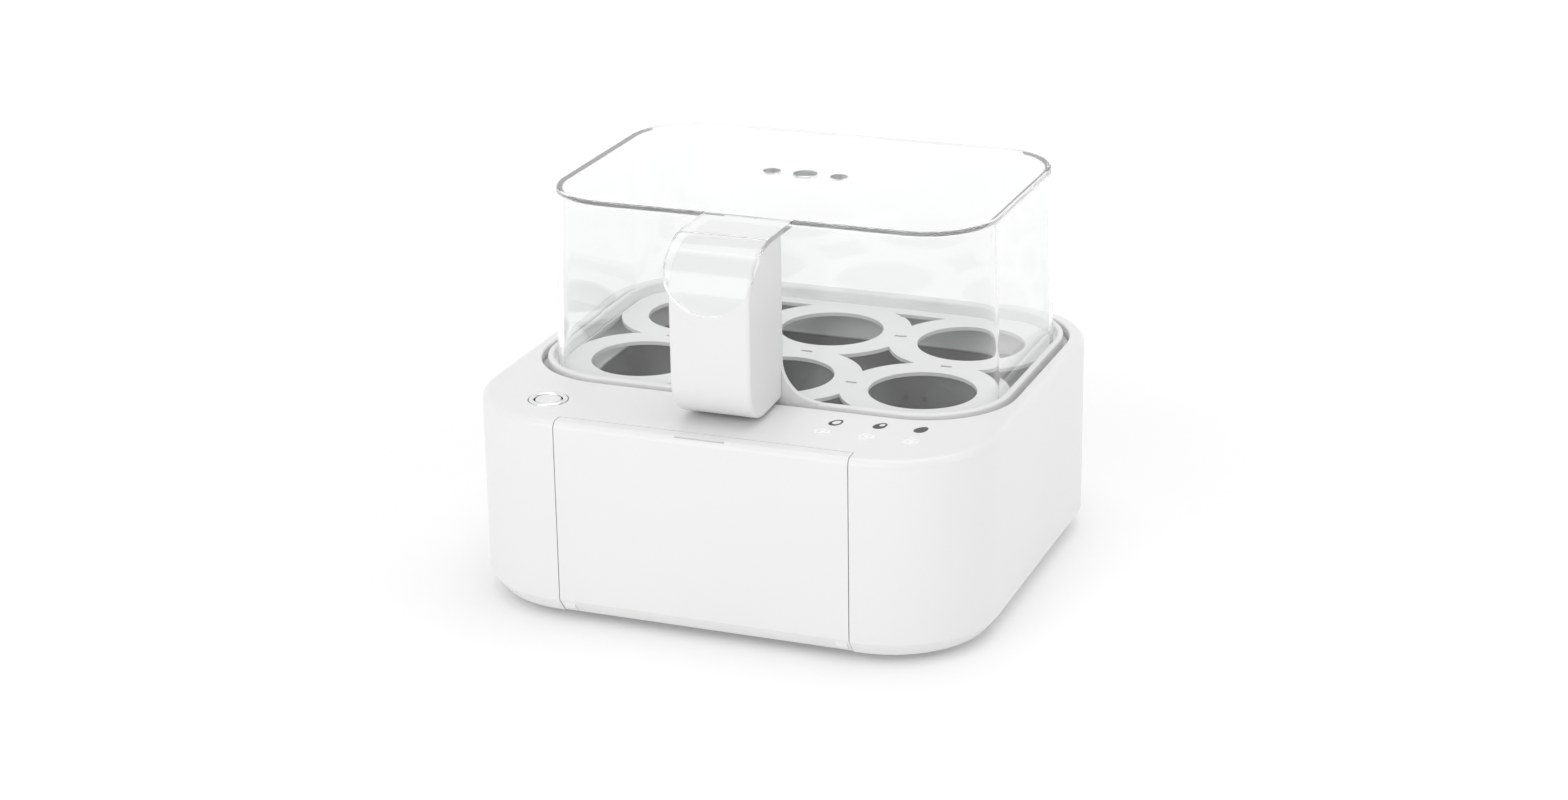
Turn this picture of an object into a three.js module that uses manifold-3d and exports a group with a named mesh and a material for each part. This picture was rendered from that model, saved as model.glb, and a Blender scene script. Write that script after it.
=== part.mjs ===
// Six-egg electric egg cooker. A clear lid stands on a lift-out egg tray, the tray hangs in a heated
// water pan, and the pan sits in a hollow base with a push button, three indicator lights and a
// storage bay behind a tilting front door. Millimetres, +Z up, the door faces -Y. The origin is the
// centre of the base's footprint, on the surface that the feet stand on.
import * as THREE from "three";
import { mergeVertices } from "three/addons/utils/BufferGeometryUtils.js";
import Module from "manifold-3d";

const wasm = await Module();
wasm.setup();

// ---------------------------------------------------------------- driving sizes

const GAP = 0.3; // between pieces that touch
const RUNNING_GAP = 0.4; // between pieces that slide or turn past each other

// Eggs and tray
const EGG_PITCH = 50; // egg to egg, both ways
const EGG_COLUMNS = 3;
const EGG_ROWS = 2;
const EGG_HOLE_DIAMETER = 36;
const RING_OVERLAP = 2.5; // how far an egg ring reaches past half the pitch
const TRAY_SIDE_MARGIN = 31.3; // outer egg's centre to the tray's rim, left and right
const TRAY_FRONT_MARGIN = 32.5; // the same, front and back
const TRAY_CORNER = 28.8;
const TRAY_PLATE = 2.4;
const TRAY_LIP = 2.2; // thickness of the upright rim that the lid stands inside
const TRAY_LIP_HEIGHT = 3.6; // above the plate
const TRAY_FRAME_SIDE = 4.8; // flat border inside the rim, left and right
const TRAY_FRAME_FRONT = 9.5; // and front and back
const DRAIN_SLOT = [4, 1.4];
const TRAY_DROP = 2.6; // deck top down to the tray's plate

// Base
const FOOT_LIFT = 3;
const DECK_TOP = 70;
const WALL = 2.5;
const RIM_STRIP = 5.2; // deck beside and behind the pan opening
const CONTROL_STRIP = 39.2; // deck in front of it
const TRAY_TO_DECK = 2; // open gap round the tray's rim
const DECK_EDGE = 2.5; // rounded top edge
const BOTTOM_BEVEL_IN = 4;
const BOTTOM_BEVEL_UP = 5;
const COVER_THICKNESS = 2.5;

// Pan and heater
const PAN_SHEET = 1;
const PAN_DEPTH = 11;
const PAN_DRAFT = 3;
const PAN_FLANGE = 1.7; // how far the flange reaches under the deck
const SEAL_HEIGHT = 0.9;
const RETAINER_HEIGHT = 2;
const SPREADER = [120, 75, 15, 1.8]; // width, depth, corner, thickness
const HEATER_TUBE = 6.5;
const HEATER_LOOP = [100, 56]; // centreline of the tube
const THERMOSTAT = [7, 8]; // radius, height

// Lid
const LID_HEIGHT = 62.5;
const LID_WALL = 2;
const LID_DRAFT = 1.7;
const LID_TO_LIP = 1.1;
const LID_EDGE = 1.5;
const VENT_PITCH = 12;
const VENT_RADIUS = 3;
const MIDDLE_VENT_RADIUS = 4.2;
const TAB_WIDTH = 30.5;
const TAB_REACH = 37.5; // lid's top edge to the tab's front face
const TAB_ROLL = 18;
const TAB_DROP = 22.5; // lid's top to the tab's round end

// Handle
const HANDLE_BACK = 25.2; // width at the lid
const HANDLE_FRONT = 27.6; // width at the front
const HANDLE_WALL = 2.2;
const HANDLE_TO_DECK = 1.2;
const HANDLE_TOE = 13; // radius of the lower front edge
const ROOT_FLARE = 13;

// Front door and storage bay
const DOOR_WIDTH = 100;
const DOOR_GAP = 0.6;
const DOOR_LIP = 5.4; // how far the door wraps over the deck
const DOOR_SHEET = 2.5;
const NAIL_NOTCH = [17, 1.8, 1.2]; // width, depth, height
const HINGE_IN = 5; // front face to the hinge axis
const HINGE_UP = 3.6; // bottom edge to the hinge axis
const HINGE_PIN_RADIUS = 1.25;
const EAR_RADIUS = 3.2;
const EAR_WIDTH = 3.8;
const LINER_WALL = 1.6;
const HEADER_WALL = 2;
const LINER_BACK = 40; // front face to the back of the bay
const CUP_LENGTH = 60;
const CUP_MOUTH_RADIUS = 16;
const CUP_FOOT_RADIUS = 13.6;
const CUP_WALL = 1.5;

// Controls
const BUTTON_X = -60.6;
const BUTTON_FROM_FRONT = 19.4;
const BUTTON_RADIUS = 4.3;
const BUTTON_RING = 2.2;
const BUTTON_TRAVEL = 1;
const LIGHT_FIRST_X = 34.3;
const LIGHT_PITCH = 14.7;
const LIGHT_FROM_FRONT = 20.7;
const LIGHT_RADIUS = 2.9;
const BOARD = 1.6;
const LAMP_HEIGHT = 1.6;
const BOARD_UNDER_DECK = 4.9; // deck's underside to the control board's top
const POWER_BOARD = [78, 56];
const POWER_BOARD_X = -12;

// Screws, feet and the cable outlet
const POST_RADIUS = 3.5;
const SCREW_RADIUS = 1.3;
const SCREW_HEAD = [2.8, 1.1];
const FOOT_RADIUS = 6.5;
const GLAND_RADIUS = 5;
const GLAND_BORE = 3.4;
const GLAND_X = -50;
const GLAND_Z = 20;

// ---------------------------------------------------------------- sections and derived places

const CORNER_STEPS = 8;

// A rounded rectangle: width, depth and corner radius.
const section = (w, d, r) => ({ w, d, r });
const inset = (s, by) => section(s.w - 2 * by, s.d - 2 * by, Math.max(s.r - by, 0.5));

const tray = section(
  (EGG_COLUMNS - 1) * EGG_PITCH + 2 * TRAY_SIDE_MARGIN,
  (EGG_ROWS - 1) * EGG_PITCH + 2 * TRAY_FRONT_MARGIN,
  TRAY_CORNER,
);
const opening = inset(tray, -TRAY_TO_DECK);
const body = section(
  opening.w + 2 * RIM_STRIP,
  opening.d + RIM_STRIP + CONTROL_STRIP,
  opening.r + RIM_STRIP,
);
const FRONT = -body.d / 2;
const PAN_Y = body.d / 2 - RIM_STRIP - opening.d / 2; // centre of the pan, tray and lid

const DECK_UNDER = DECK_TOP - WALL;
const COVER_TOP = FOOT_LIFT + COVER_THICKNESS;
const POWER_BOARD_UNDER = COVER_TOP + 7;
const coverOutline = inset(body, BOTTOM_BEVEL_IN + WALL + GAP);

const PLATE_TOP = DECK_TOP - TRAY_DROP;
const PLATE_UNDER = PLATE_TOP - TRAY_PLATE;
const LIP_TOP = PLATE_TOP + TRAY_LIP_HEIGHT;
const FLANGE_TOP = DECK_UNDER - SEAL_HEIGHT - 2 * GAP;
const FLANGE_UNDER = FLANGE_TOP - PAN_SHEET;
const PAN_FLOOR = FLANGE_TOP - PAN_DEPTH;
const rimInset = TRAY_LIP + 0.5; // the plate narrows below the rim, which rests on the pan's flange
const basin = inset(tray, rimInset - RUNNING_GAP);
const flange = inset(opening, -PAN_FLANGE);
const SPREADER_TOP = PAN_FLOOR - PAN_SHEET - GAP;
const SPREADER_UNDER = SPREADER_TOP - SPREADER[3];

const lidFoot = inset(tray, TRAY_LIP + LID_TO_LIP);
const lidCrown = inset(lidFoot, LID_DRAFT);
const LID_UNDER = PLATE_TOP + GAP;
const LID_TOP = LID_UNDER + LID_HEIGHT;
const LID_FRONT = -lidCrown.d / 2; // seen from the lid's own centre

const LIP_OUTER = -tray.d / 2; // front of the tray's rim, from the tray's own centre
const LIP_INNER = LIP_OUTER + TRAY_LIP;
const TAB_FRONT = LID_FRONT - TAB_REACH;
const HANDLE_TOP = LID_TOP - LID_WALL - RUNNING_GAP;
const HANDLE_UNDER = DECK_TOP + HANDLE_TO_DECK;
const HANDLE_NOSE = TAB_FRONT + LID_WALL + RUNNING_GAP;
const STRAP_TOP = HANDLE_TOP - HANDLE_WALL - GAP;

const BOARD_TOP = DECK_UNDER - BOARD_UNDER_DECK;
const BOARD_UNDER = BOARD_TOP - BOARD;
const BUTTON_Y = FRONT + BUTTON_FROM_FRONT;
const LIGHT_Y = FRONT + LIGHT_FROM_FRONT;

const HINGE_Y = FRONT + HINGE_IN;
const HINGE_Z = FOOT_LIFT + HINGE_UP;
const EAR_SWEEP = EAR_RADIUS + 1; // room that the door's lower edge needs as it turns
const CHEEK_IN = DOOR_WIDTH / 2 + DOOR_GAP; // inner face of the walls beside the bay
const CHEEK_OUT = CHEEK_IN + WALL;
const BAY_FRONT = HINGE_Y + EAR_SWEEP;
const BAY_BACK = FRONT + LINER_BACK;
const BAY_FLOOR = COVER_TOP + 3;
const BAY_TOP = BOARD_UNDER - 2.5;
const CUP_Y = BAY_BACK - LINER_WALL - GAP - CUP_MOUTH_RADIUS;
const CUP_Z = BAY_FLOOR + LINER_WALL + GAP + CUP_MOUTH_RADIUS;
const CUP_LEFT = -CHEEK_IN + RUNNING_GAP + LINER_WALL + 6;

const POST_IN = 11; // outside of the wall to a screw post's centre
const POSTS = [-1, 1].flatMap((side) =>
  [-1, 1].map((end) => [side * (body.w / 2 - POST_IN), end * (body.d / 2 - body.r)]),
);
const FEET = [-1, 1].flatMap((side) =>
  [-1, 1].map((end) => [side * (body.w / 2 - 26), end * (body.d / 2 - 24)]),
);
const POST_TOP = SPREADER_UNDER - HEATER_TUBE;
const EARS = [-1, 1].map((side) => [side * (opening.w / 2 - 18), PAN_Y - flange.d / 2 - 2.6]);
const EAR_TOP = FLANGE_UNDER - GAP;

// ---------------------------------------------------------------- solids

// A closed geometry as a solid that can be joined and cut.
function solid(geometry) {
  const bare = geometry.index ? geometry.toNonIndexed() : geometry.clone();
  bare.deleteAttribute("normal");
  bare.deleteAttribute("uv");
  const merged = mergeVertices(bare, 1e-4);
  return new wasm.Manifold(
    new wasm.Mesh({
      numProp: 3,
      vertProperties: merged.attributes.position.array,
      triVerts: new Uint32Array(merged.index.array),
    }),
  );
}

function geometryOf(made) {
  const mesh = made.getMesh();
  const geometry = new THREE.BufferGeometry();
  geometry.setAttribute("position", new THREE.BufferAttribute(mesh.vertProperties, 3));
  geometry.setIndex(new THREE.BufferAttribute(mesh.triVerts, 1));
  const flat = geometry.toNonIndexed();
  flat.computeVertexNormals();
  return flat;
}

const join = (first, ...rest) => rest.reduce((made, next) => made.add(next), first);
const cut = (first, ...rest) => rest.reduce((made, next) => made.subtract(next), first);

function block([x0, x1], [y0, y1], [z0, z1]) {
  const box = new THREE.BoxGeometry(x1 - x0, y1 - y0, z1 - z0);
  return solid(box.translate((x0 + x1) / 2, (y0 + y1) / 2, (z0 + z1) / 2));
}

// A round bar along Z, or a cone where its top has another radius.
function rod(radius, [z0, z1], [x, y] = [0, 0], sides = 24, topRadius = radius) {
  const bar = new THREE.CylinderGeometry(topRadius, radius, z1 - z0, sides).rotateX(Math.PI / 2);
  return solid(bar.translate(x, y, (z0 + z1) / 2));
}

// A round bar along X.
function crossRod(radius, [x0, x1], [y, z], sides = 16) {
  const bar = new THREE.CylinderGeometry(radius, radius, x1 - x0, sides).rotateZ(Math.PI / 2);
  return solid(bar.translate((x0 + x1) / 2, y, z));
}

// A round bar along Y.
function depthRod(radius, [y0, y1], [x, z], sides = 24) {
  const bar = new THREE.CylinderGeometry(radius, radius, y1 - y0, sides);
  return solid(bar.translate(x, (y0 + y1) / 2, z));
}

function loopOf({ w, d, r }) {
  const points = [];
  [[1, 1], [-1, 1], [-1, -1], [1, -1]].forEach(([sx, sy], quarter) => {
    for (let i = 0; i <= CORNER_STEPS; i++) {
      const turn = ((quarter + i / CORNER_STEPS) * Math.PI) / 2;
      points.push([
        sx * (w / 2 - r) + r * Math.cos(turn),
        sy * (d / 2 - r) + r * Math.sin(turn),
      ]);
    }
  });
  return points;
}

// A solid through rounded rectangles stacked in Z, given as [section, z] from the bottom up.
function loft(levels, y = 0) {
  const loops = levels.map(([s, z]) => loopOf(s).map(([px, py]) => [px, py + y, z]));
  const count = loops[0].length;
  const triangles = [];
  const capCentre = (z) => [0, y, z];
  for (let i = 0; i < count; i++) {
    const j = (i + 1) % count;
    triangles.push(capCentre(levels[0][1]), loops[0][j], loops[0][i]);
    for (let k = 0; k + 1 < loops.length; k++) {
      triangles.push(loops[k][i], loops[k][j], loops[k + 1][j]);
      triangles.push(loops[k][i], loops[k + 1][j], loops[k + 1][i]);
    }
    triangles.push(capCentre(levels.at(-1)[1]), loops.at(-1)[i], loops.at(-1)[j]);
  }
  const geometry = new THREE.BufferGeometry();
  geometry.setAttribute("position", new THREE.Float32BufferAttribute(triangles.flat(), 3));
  return solid(geometry);
}

const slab = (s, [z0, z1], y = 0) => loft([[s, z0], [s, z1]], y);

// Levels that round a section's top edge over.
function roundedTop(s, radius, top, steps = 3) {
  return Array.from({ length: steps + 1 }, (_, i) => {
    const turn = ((i / steps) * Math.PI) / 2;
    return [inset(s, radius * (1 - Math.cos(turn))), top - radius * (1 - Math.sin(turn))];
  });
}

// An outline drawn in Y and Z, extruded along X.
function sideProfile(shape, [x0, x1], segments = 8) {
  const bar = new THREE.ExtrudeGeometry(shape, {
    depth: x1 - x0,
    bevelEnabled: false,
    curveSegments: segments,
  });
  const toFrame = new THREE.Matrix4().makeBasis(
    new THREE.Vector3(0, 1, 0),
    new THREE.Vector3(0, 0, 1),
    new THREE.Vector3(1, 0, 0),
  );
  return solid(bar.applyMatrix4(toFrame).translate(x0, 0, 0));
}

// An outline drawn in X and Z, extruded along Y.
function frontProfile(shape, [y0, y1], segments = 8) {
  const bar = new THREE.ExtrudeGeometry(shape, {
    depth: y1 - y0,
    bevelEnabled: false,
    curveSegments: segments,
  });
  return solid(bar.rotateX(Math.PI / 2).translate(0, y1, 0));
}

function polygon(points) {
  return new THREE.Shape(points.map(([a, b]) => new THREE.Vector2(a, b)));
}

function lathe(profile, sides = 24) {
  const turned = new THREE.LatheGeometry(
    profile.map(([radius, z]) => new THREE.Vector2(radius, z)),
    sides,
  );
  return solid(turned.rotateX(Math.PI / 2));
}

// ---------------------------------------------------------------- base

// The door's own outline in Y and Z: bevelled foot, upright face, rounded edge, lip over the deck.
function doorOutline() {
  const back = FRONT + DOOR_SHEET;
  const foot = FRONT + BOTTOM_BEVEL_IN;
  const shape = new THREE.Shape();
  shape.moveTo(foot, FOOT_LIFT + GAP);
  shape.lineTo(foot + DOOR_SHEET, FOOT_LIFT + GAP);
  shape.lineTo(back, FOOT_LIFT + BOTTOM_BEVEL_UP + GAP + 1);
  shape.lineTo(back, DECK_TOP - DOOR_SHEET);
  shape.lineTo(FRONT + DOOR_LIP, DECK_TOP - DOOR_SHEET);
  shape.lineTo(FRONT + DOOR_LIP, DECK_TOP);
  shape.lineTo(FRONT + DECK_EDGE, DECK_TOP);
  shape.absarc(FRONT + DECK_EDGE, DECK_TOP - DECK_EDGE, DECK_EDGE, Math.PI / 2, Math.PI, false);
  shape.lineTo(FRONT, FOOT_LIFT + BOTTOM_BEVEL_UP + GAP);
  return shape;
}

function bodyBlock() {
  return loft([
    [inset(body, BOTTOM_BEVEL_IN), FOOT_LIFT],
    [body, FOOT_LIFT + BOTTOM_BEVEL_UP],
    ...roundedTop(body, DECK_EDGE, DECK_TOP),
  ]);
}

// Moulded shell: walls, deck, the walls beside the bay with their hinge lugs, posts and ribs.
function baseShell() {
  const outer = bodyBlock();
  const hollow = loft([
    [inset(body, BOTTOM_BEVEL_IN + WALL), FOOT_LIFT - 1],
    [inset(body, BOTTOM_BEVEL_IN + WALL), FOOT_LIFT],
    [inset(body, WALL), FOOT_LIFT + BOTTOM_BEVEL_UP],
    [inset(body, WALL), DECK_UNDER],
  ]);
  const panHole = slab(opening, [DECK_UNDER - 1, DECK_TOP + 1], PAN_Y);
  const across = [-CHEEK_IN, CHEEK_IN];
  const doorway = join(
    block(across, [FRONT - 1, FRONT + DOOR_LIP + DOOR_GAP], [0, DECK_TOP + 1]),
    block(across, [FRONT - 1, BAY_FRONT], [0, DECK_UNDER - 1]),
  );
  const extras = [];
  for (const side of [-1, 1]) {
    const width = [side * CHEEK_IN, side * CHEEK_OUT].sort((a, b) => a - b);
    const cheek = block(width, [FRONT + WALL / 2, BAY_BACK], [COVER_TOP + GAP, BOARD_UNDER - GAP]);
    const lug = block(
      width,
      [FRONT + WALL / 2, BAY_FRONT - 1],
      [FOOT_LIFT, HINGE_Z + EAR_RADIUS + 1],
    );
    extras.push(join(cheek, lug).intersect(outer));
    extras.push(rod(2.5, [BOARD_TOP + GAP, DECK_TOP - 1], [side * 68, LIGHT_Y + 4], 12));
  }
  // A strip over the bay's mouth hides the control board when the door is open.
  extras.push(
    block(
      [-CHEEK_IN - 1, CHEEK_IN + 1],
      [BAY_FRONT, BAY_FRONT + HEADER_WALL],
      [BAY_TOP + GAP, DECK_UNDER + 1],
    ),
  );
  for (const [x, y] of POSTS) {
    const outward = Math.sign(x) * (body.w / 2 - WALL / 2);
    const rib = block(
      [Math.min(x, outward), Math.max(x, outward)],
      [y - 1, y + 1],
      [COVER_TOP + GAP, POST_TOP],
    );
    const pilot = rod(SCREW_RADIUS + GAP, [0, COVER_TOP + 10], [x, y], 12);
    extras.push(cut(join(rod(POST_RADIUS, [COVER_TOP + GAP, POST_TOP], [x, y], 12), rib), pilot));
  }
  for (const [x, y] of EARS) {
    const boss = rod(3, [EAR_TOP + GAP, DECK_TOP - 1], [x, y], 12);
    extras.push(cut(boss, rod(SCREW_RADIUS + GAP, [0, DECK_UNDER], [x, y], 12)));
  }
  const buttonSeat = rod(
    BUTTON_RADIUS + BUTTON_RING + GAP,
    [DECK_TOP - 1, DECK_TOP + 1],
    [BUTTON_X, BUTTON_Y],
  );
  const buttonHole = rod(
    BUTTON_RADIUS + RUNNING_GAP + 1 + GAP,
    [DECK_UNDER - 1, DECK_TOP],
    [BUTTON_X, BUTTON_Y],
  );
  const lightHoles = lightPlaces().map((x) =>
    rod(LIGHT_RADIUS + GAP, [DECK_UNDER - 1, DECK_TOP + 1], [x, LIGHT_Y], 20),
  );
  const glandSeat = depthRod(GLAND_RADIUS + 2 + GAP, [body.d / 2 - 1, body.d / 2 + 1], [GLAND_X, GLAND_Z]);
  const glandHole = depthRod(GLAND_RADIUS + GAP, [body.d / 2 - 9, body.d / 2 + 1], [GLAND_X, GLAND_Z]);
  const hingeBore = crossRod(
    HINGE_PIN_RADIUS + GAP,
    [-CHEEK_OUT - 1, CHEEK_OUT + 1],
    [HINGE_Y, HINGE_Z],
  );
  return cut(
    join(cut(outer, hollow, panHole, doorway), ...extras),
    hingeBore,
    buttonSeat,
    buttonHole,
    ...lightHoles,
    glandSeat,
    glandHole,
  );
}

function lightPlaces() {
  return [0, 1, 2].map((i) => LIGHT_FIRST_X + i * LIGHT_PITCH);
}

// Bottom cover with cooling slots, foot sockets, screw seats and the power board's posts.
function bottomCover(boardPosts) {
  const plate = slab(coverOutline, [FOOT_LIFT, COVER_TOP]);
  const doorRoom = block(
    [-CHEEK_OUT - 1, CHEEK_OUT + 1],
    [FRONT - 1, BAY_FRONT],
    [FOOT_LIFT - 1, COVER_TOP + 1],
  );
  const slots = [-2, -1, 0, 1, 2].map((i) =>
    block([-18, 18], [PAN_Y + i * 7 - 1.25, PAN_Y + i * 7 + 1.25], [FOOT_LIFT - 1, COVER_TOP + 1]),
  );
  const sockets = FEET.map((at) => rod(2.3, [FOOT_LIFT - 1, COVER_TOP + 1], at, 12));
  const seats = POSTS.map((at) =>
    join(
      rod(SCREW_HEAD[0] + GAP, [FOOT_LIFT - 1, FOOT_LIFT + SCREW_HEAD[1] + GAP], at, 16),
      rod(SCREW_RADIUS + GAP, [FOOT_LIFT, COVER_TOP + 1], at, 12),
    ),
  );
  const posts = boardPosts.map((at) => rod(2.4, [COVER_TOP - 1, POWER_BOARD_UNDER - GAP], at, 12));
  return cut(join(plate, ...posts), doorRoom, ...slots, ...sockets, ...seats);
}

// Rubber foot: a tapered pad with a stud that plugs into the cover.
function foot() {
  const pad = FOOT_LIFT - GAP;
  return lathe([
    [0, 0],
    [FOOT_RADIUS - 0.8, 0],
    [FOOT_RADIUS, pad],
    [2, pad],
    [2, COVER_TOP],
    [0, COVER_TOP],
  ], 20);
}

// A pan-head screw standing on its head, which starts at z = 0.
function screw(length) {
  const [head, rise] = SCREW_HEAD;
  return lathe([
    [0, 0],
    [head * 0.8, 0],
    [head, rise * 0.4],
    [head, rise],
    [SCREW_RADIUS, rise],
    [SCREW_RADIUS, length],
    [0, length + 1],
  ], 12);
}

// Cable outlet bush: a flange let into the wall and a bored sleeve behind it.
function cordGland() {
  const back = body.d / 2;
  return cut(
    join(
      depthRod(GLAND_RADIUS + 2, [back - 1 + GAP, back], [0, 0]),
      depthRod(GLAND_RADIUS, [back - 8, back], [0, 0]),
    ),
    depthRod(GLAND_BORE, [back - 9, back + 1], [0, 0], 16),
  );
}

// ---------------------------------------------------------------- pan and heater

function waterPan() {
  const floorSection = inset(basin, PAN_DRAFT);
  const outer = loft([
    [inset(floorSection, 2 - PAN_SHEET), PAN_FLOOR - PAN_SHEET],
    [inset(floorSection, -PAN_SHEET), PAN_FLOOR + 2 - PAN_SHEET],
    [inset(basin, -PAN_SHEET), FLANGE_TOP],
  ], PAN_Y);
  const flangePlate = slab(flange, [FLANGE_UNDER, FLANGE_TOP], PAN_Y);
  const hollow = loft([
    [inset(floorSection, 2), PAN_FLOOR],
    [floorSection, PAN_FLOOR + 2],
    [basin, FLANGE_TOP],
    [basin, FLANGE_TOP + 1],
  ], PAN_Y);
  return cut(join(outer, flangePlate), hollow);
}

function panSeal() {
  const [z0, z1] = [FLANGE_TOP + GAP, DECK_UNDER - GAP];
  return cut(
    slab(inset(flange, 0.2), [z0, z1], PAN_Y),
    slab(inset(opening, -0.1), [z0 - 1, z1 + 1], PAN_Y),
  );
}

// Sheet-metal frame that is screwed up under the flange.
function panRetainer() {
  const [z0, z1] = [EAR_TOP - RETAINER_HEIGHT, EAR_TOP];
  const ring = cut(
    slab(flange, [z0, z1], PAN_Y),
    slab(inset(basin, -PAN_SHEET - RUNNING_GAP), [z0 - 1, z1 + 1], PAN_Y),
  );
  const ears = EARS.map(([x, y]) => block([x - 4, x + 4], [y - 3.5, y + 5], [z0, z1]));
  const holes = EARS.map((at) => rod(SCREW_RADIUS + GAP, [z0 - 1, z1 + 1], at, 12));
  return cut(join(ring, ...ears), ...holes);
}

function heatSpreader() {
  const [w, d, r] = SPREADER;
  return slab(section(w, d, r), [SPREADER_UNDER, SPREADER_TOP], PAN_Y);
}

// The element's centreline: one loop that is open at the back, where its two ends meet.
function heatingTube() {
  const [w, d] = HEATER_LOOP;
  const r = 14;
  const half = 10;
  const points = [new THREE.Vector3(-half, d / 2, 0)];
  for (const [sx, sy, start] of [[-1, 1, 1], [-1, -1, 2], [1, -1, 3], [1, 1, 4]]) {
    for (let i = 0; i <= 3; i++) {
      const turn = ((start + i / 3) * Math.PI) / 2;
      points.push(
        new THREE.Vector3(
          sx * (w / 2 - r) + r * Math.cos(turn),
          sy * (d / 2 - r) + r * Math.sin(turn),
          0,
        ),
      );
    }
  }
  points.push(new THREE.Vector3(half, d / 2, 0));
  const path = new THREE.CatmullRomCurve3(points, false, "chordal");
  const circle = new THREE.Shape().absarc(0, 0, HEATER_TUBE / 2, 0, 2 * Math.PI, false);
  const tube = new THREE.ExtrudeGeometry(circle, { extrudePath: path, steps: 44, curveSegments: 4 });
  return solid(tube);
}

const HEATER_Z = SPREADER_UNDER - GAP - HEATER_TUBE / 2;
const THERMOSTAT_X = -6;
const THERMOSTAT_UNDER = SPREADER_UNDER - GAP - THERMOSTAT[1];

function thermostat() {
  const [radius, height] = THERMOSTAT;
  const can = rod(radius, [0, height], [0, 0], 20);
  return join(can, block([-1, 1], [-radius - 3, radius + 3], [0.5, 1.5]));
}

// Strap that presses the thermostat against the spreader.
function thermostatStrap() {
  const reach = THERMOSTAT[0] + 5;
  const floor = block([-reach, reach], [-4, 4], [-1, 0]);
  const legs = [-1, 1].map((side) =>
    block([side * reach - 0.6, side * reach + 0.6], [-4, 4], [-1, THERMOSTAT[1] + GAP]),
  );
  return join(floor, ...legs);
}

// ---------------------------------------------------------------- storage bay and door

// Open-fronted liner with a shelf lip for the magnet and two cradles for the cup.
function storageLiner() {
  const half = CHEEK_IN - RUNNING_GAP;
  const outer = block([-half, half], [BAY_FRONT, BAY_BACK], [BAY_FLOOR, BAY_TOP]);
  const room = block(
    [-half + LINER_WALL, half - LINER_WALL],
    [BAY_FRONT - 1, BAY_BACK - LINER_WALL],
    [BAY_FLOOR + LINER_WALL, BAY_TOP - LINER_WALL],
  );
  const shelf = block([-12, 12], [MAGNET_FRONT, BAY_FRONT + 2], [BAY_TOP - LINER_WALL, BAY_TOP]);
  const cradles = [0.2, 0.75].map((share) => {
    const x = CUP_LEFT + share * CUP_LENGTH;
    const rib = block([x - 1, x + 1], [BAY_FRONT, BAY_BACK - 1], [BAY_FLOOR + 1, CUP_Z - 6]);
    return cut(rib, crossRod(CUP_MOUTH_RADIUS + GAP, [x - 2, x + 2], [CUP_Y, CUP_Z], 32));
  });
  return join(cut(outer, room), shelf, ...cradles);
}

const STRIKE = [12, 0.8, 6]; // width, thickness, height
const MAGNET = [10, 5, 4]; // width, depth, height
const STRIKE_Y = FRONT + DOOR_SHEET + GAP;
const MAGNET_FRONT = STRIKE_Y + STRIKE[1] + RUNNING_GAP;
const MAGNET_Z = BAY_TOP - LINER_WALL - GAP - MAGNET[2];

function doorPanel() {
  const half = DOOR_WIDTH / 2;
  const skin = sideProfile(doorOutline(), [-half, half], 4);
  const back = FRONT + DOOR_SHEET;
  const extras = [];
  for (const side of [-1, 1]) {
    const [x0, x1] = [side * (half - 1), side * (half - 1 - EAR_WIDTH)].sort((a, b) => a - b);
    const rib = block([x0, x1], [back - 1, back + 2], [HINGE_Z, DECK_TOP - 6]);
    const ear = crossRod(EAR_RADIUS, [x0, x1], [HINGE_Y, HINGE_Z]);
    const neck = block([x0, x1], [back - 1.4, HINGE_Y], [HINGE_Z - 0.8, HINGE_Z + EAR_RADIUS]);
    const bore = crossRod(HINGE_PIN_RADIUS + RUNNING_GAP, [x0 - 1, x1 + 1], [HINGE_Y, HINGE_Z]);
    extras.push(cut(join(rib, ear, neck), bore));
  }
  const [wide, deep, high] = NAIL_NOTCH;
  const notch = block([-wide / 2, wide / 2], [FRONT - 1, FRONT + deep], [DECK_TOP - high, DECK_TOP + 1]);
  const bores = crossRod(HINGE_PIN_RADIUS + RUNNING_GAP, [-half - 1, half + 1], [HINGE_Y, HINGE_Z]);
  return cut(join(skin, ...extras), notch, bores);
}

// The cup's own axis is Z, with its mouth up; a collar under its foot guards the needle.
const NEEDLE_GUARD = 5;

function measuringCup() {
  return lathe([
    [0, NEEDLE_GUARD],
    [7, NEEDLE_GUARD],
    [7, 0],
    [8.2, 0],
    [8.2, NEEDLE_GUARD],
    [CUP_FOOT_RADIUS, NEEDLE_GUARD],
    [CUP_MOUTH_RADIUS - 1, CUP_LENGTH - 2],
    [CUP_MOUTH_RADIUS, CUP_LENGTH - 1.5],
    [CUP_MOUTH_RADIUS, CUP_LENGTH],
    [CUP_MOUTH_RADIUS - 1 - CUP_WALL, CUP_LENGTH],
    [CUP_FOOT_RADIUS - CUP_WALL, NEEDLE_GUARD + CUP_WALL],
    [0, NEEDLE_GUARD + CUP_WALL],
  ], 28);
}

function piercingNeedle() {
  return lathe([
    [0, 0],
    [0.5, 1.6],
    [0.5, NEEDLE_GUARD - 1.2],
    [3, NEEDLE_GUARD - 1.2],
    [3, NEEDLE_GUARD - GAP],
    [0, NEEDLE_GUARD - GAP],
  ], 12);
}

// ---------------------------------------------------------------- controls

function controlBoard() {
  return block([-72, 74], [BUTTON_Y - 7, BUTTON_Y + 8.7], [BOARD_UNDER, BOARD_TOP]);
}

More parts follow.
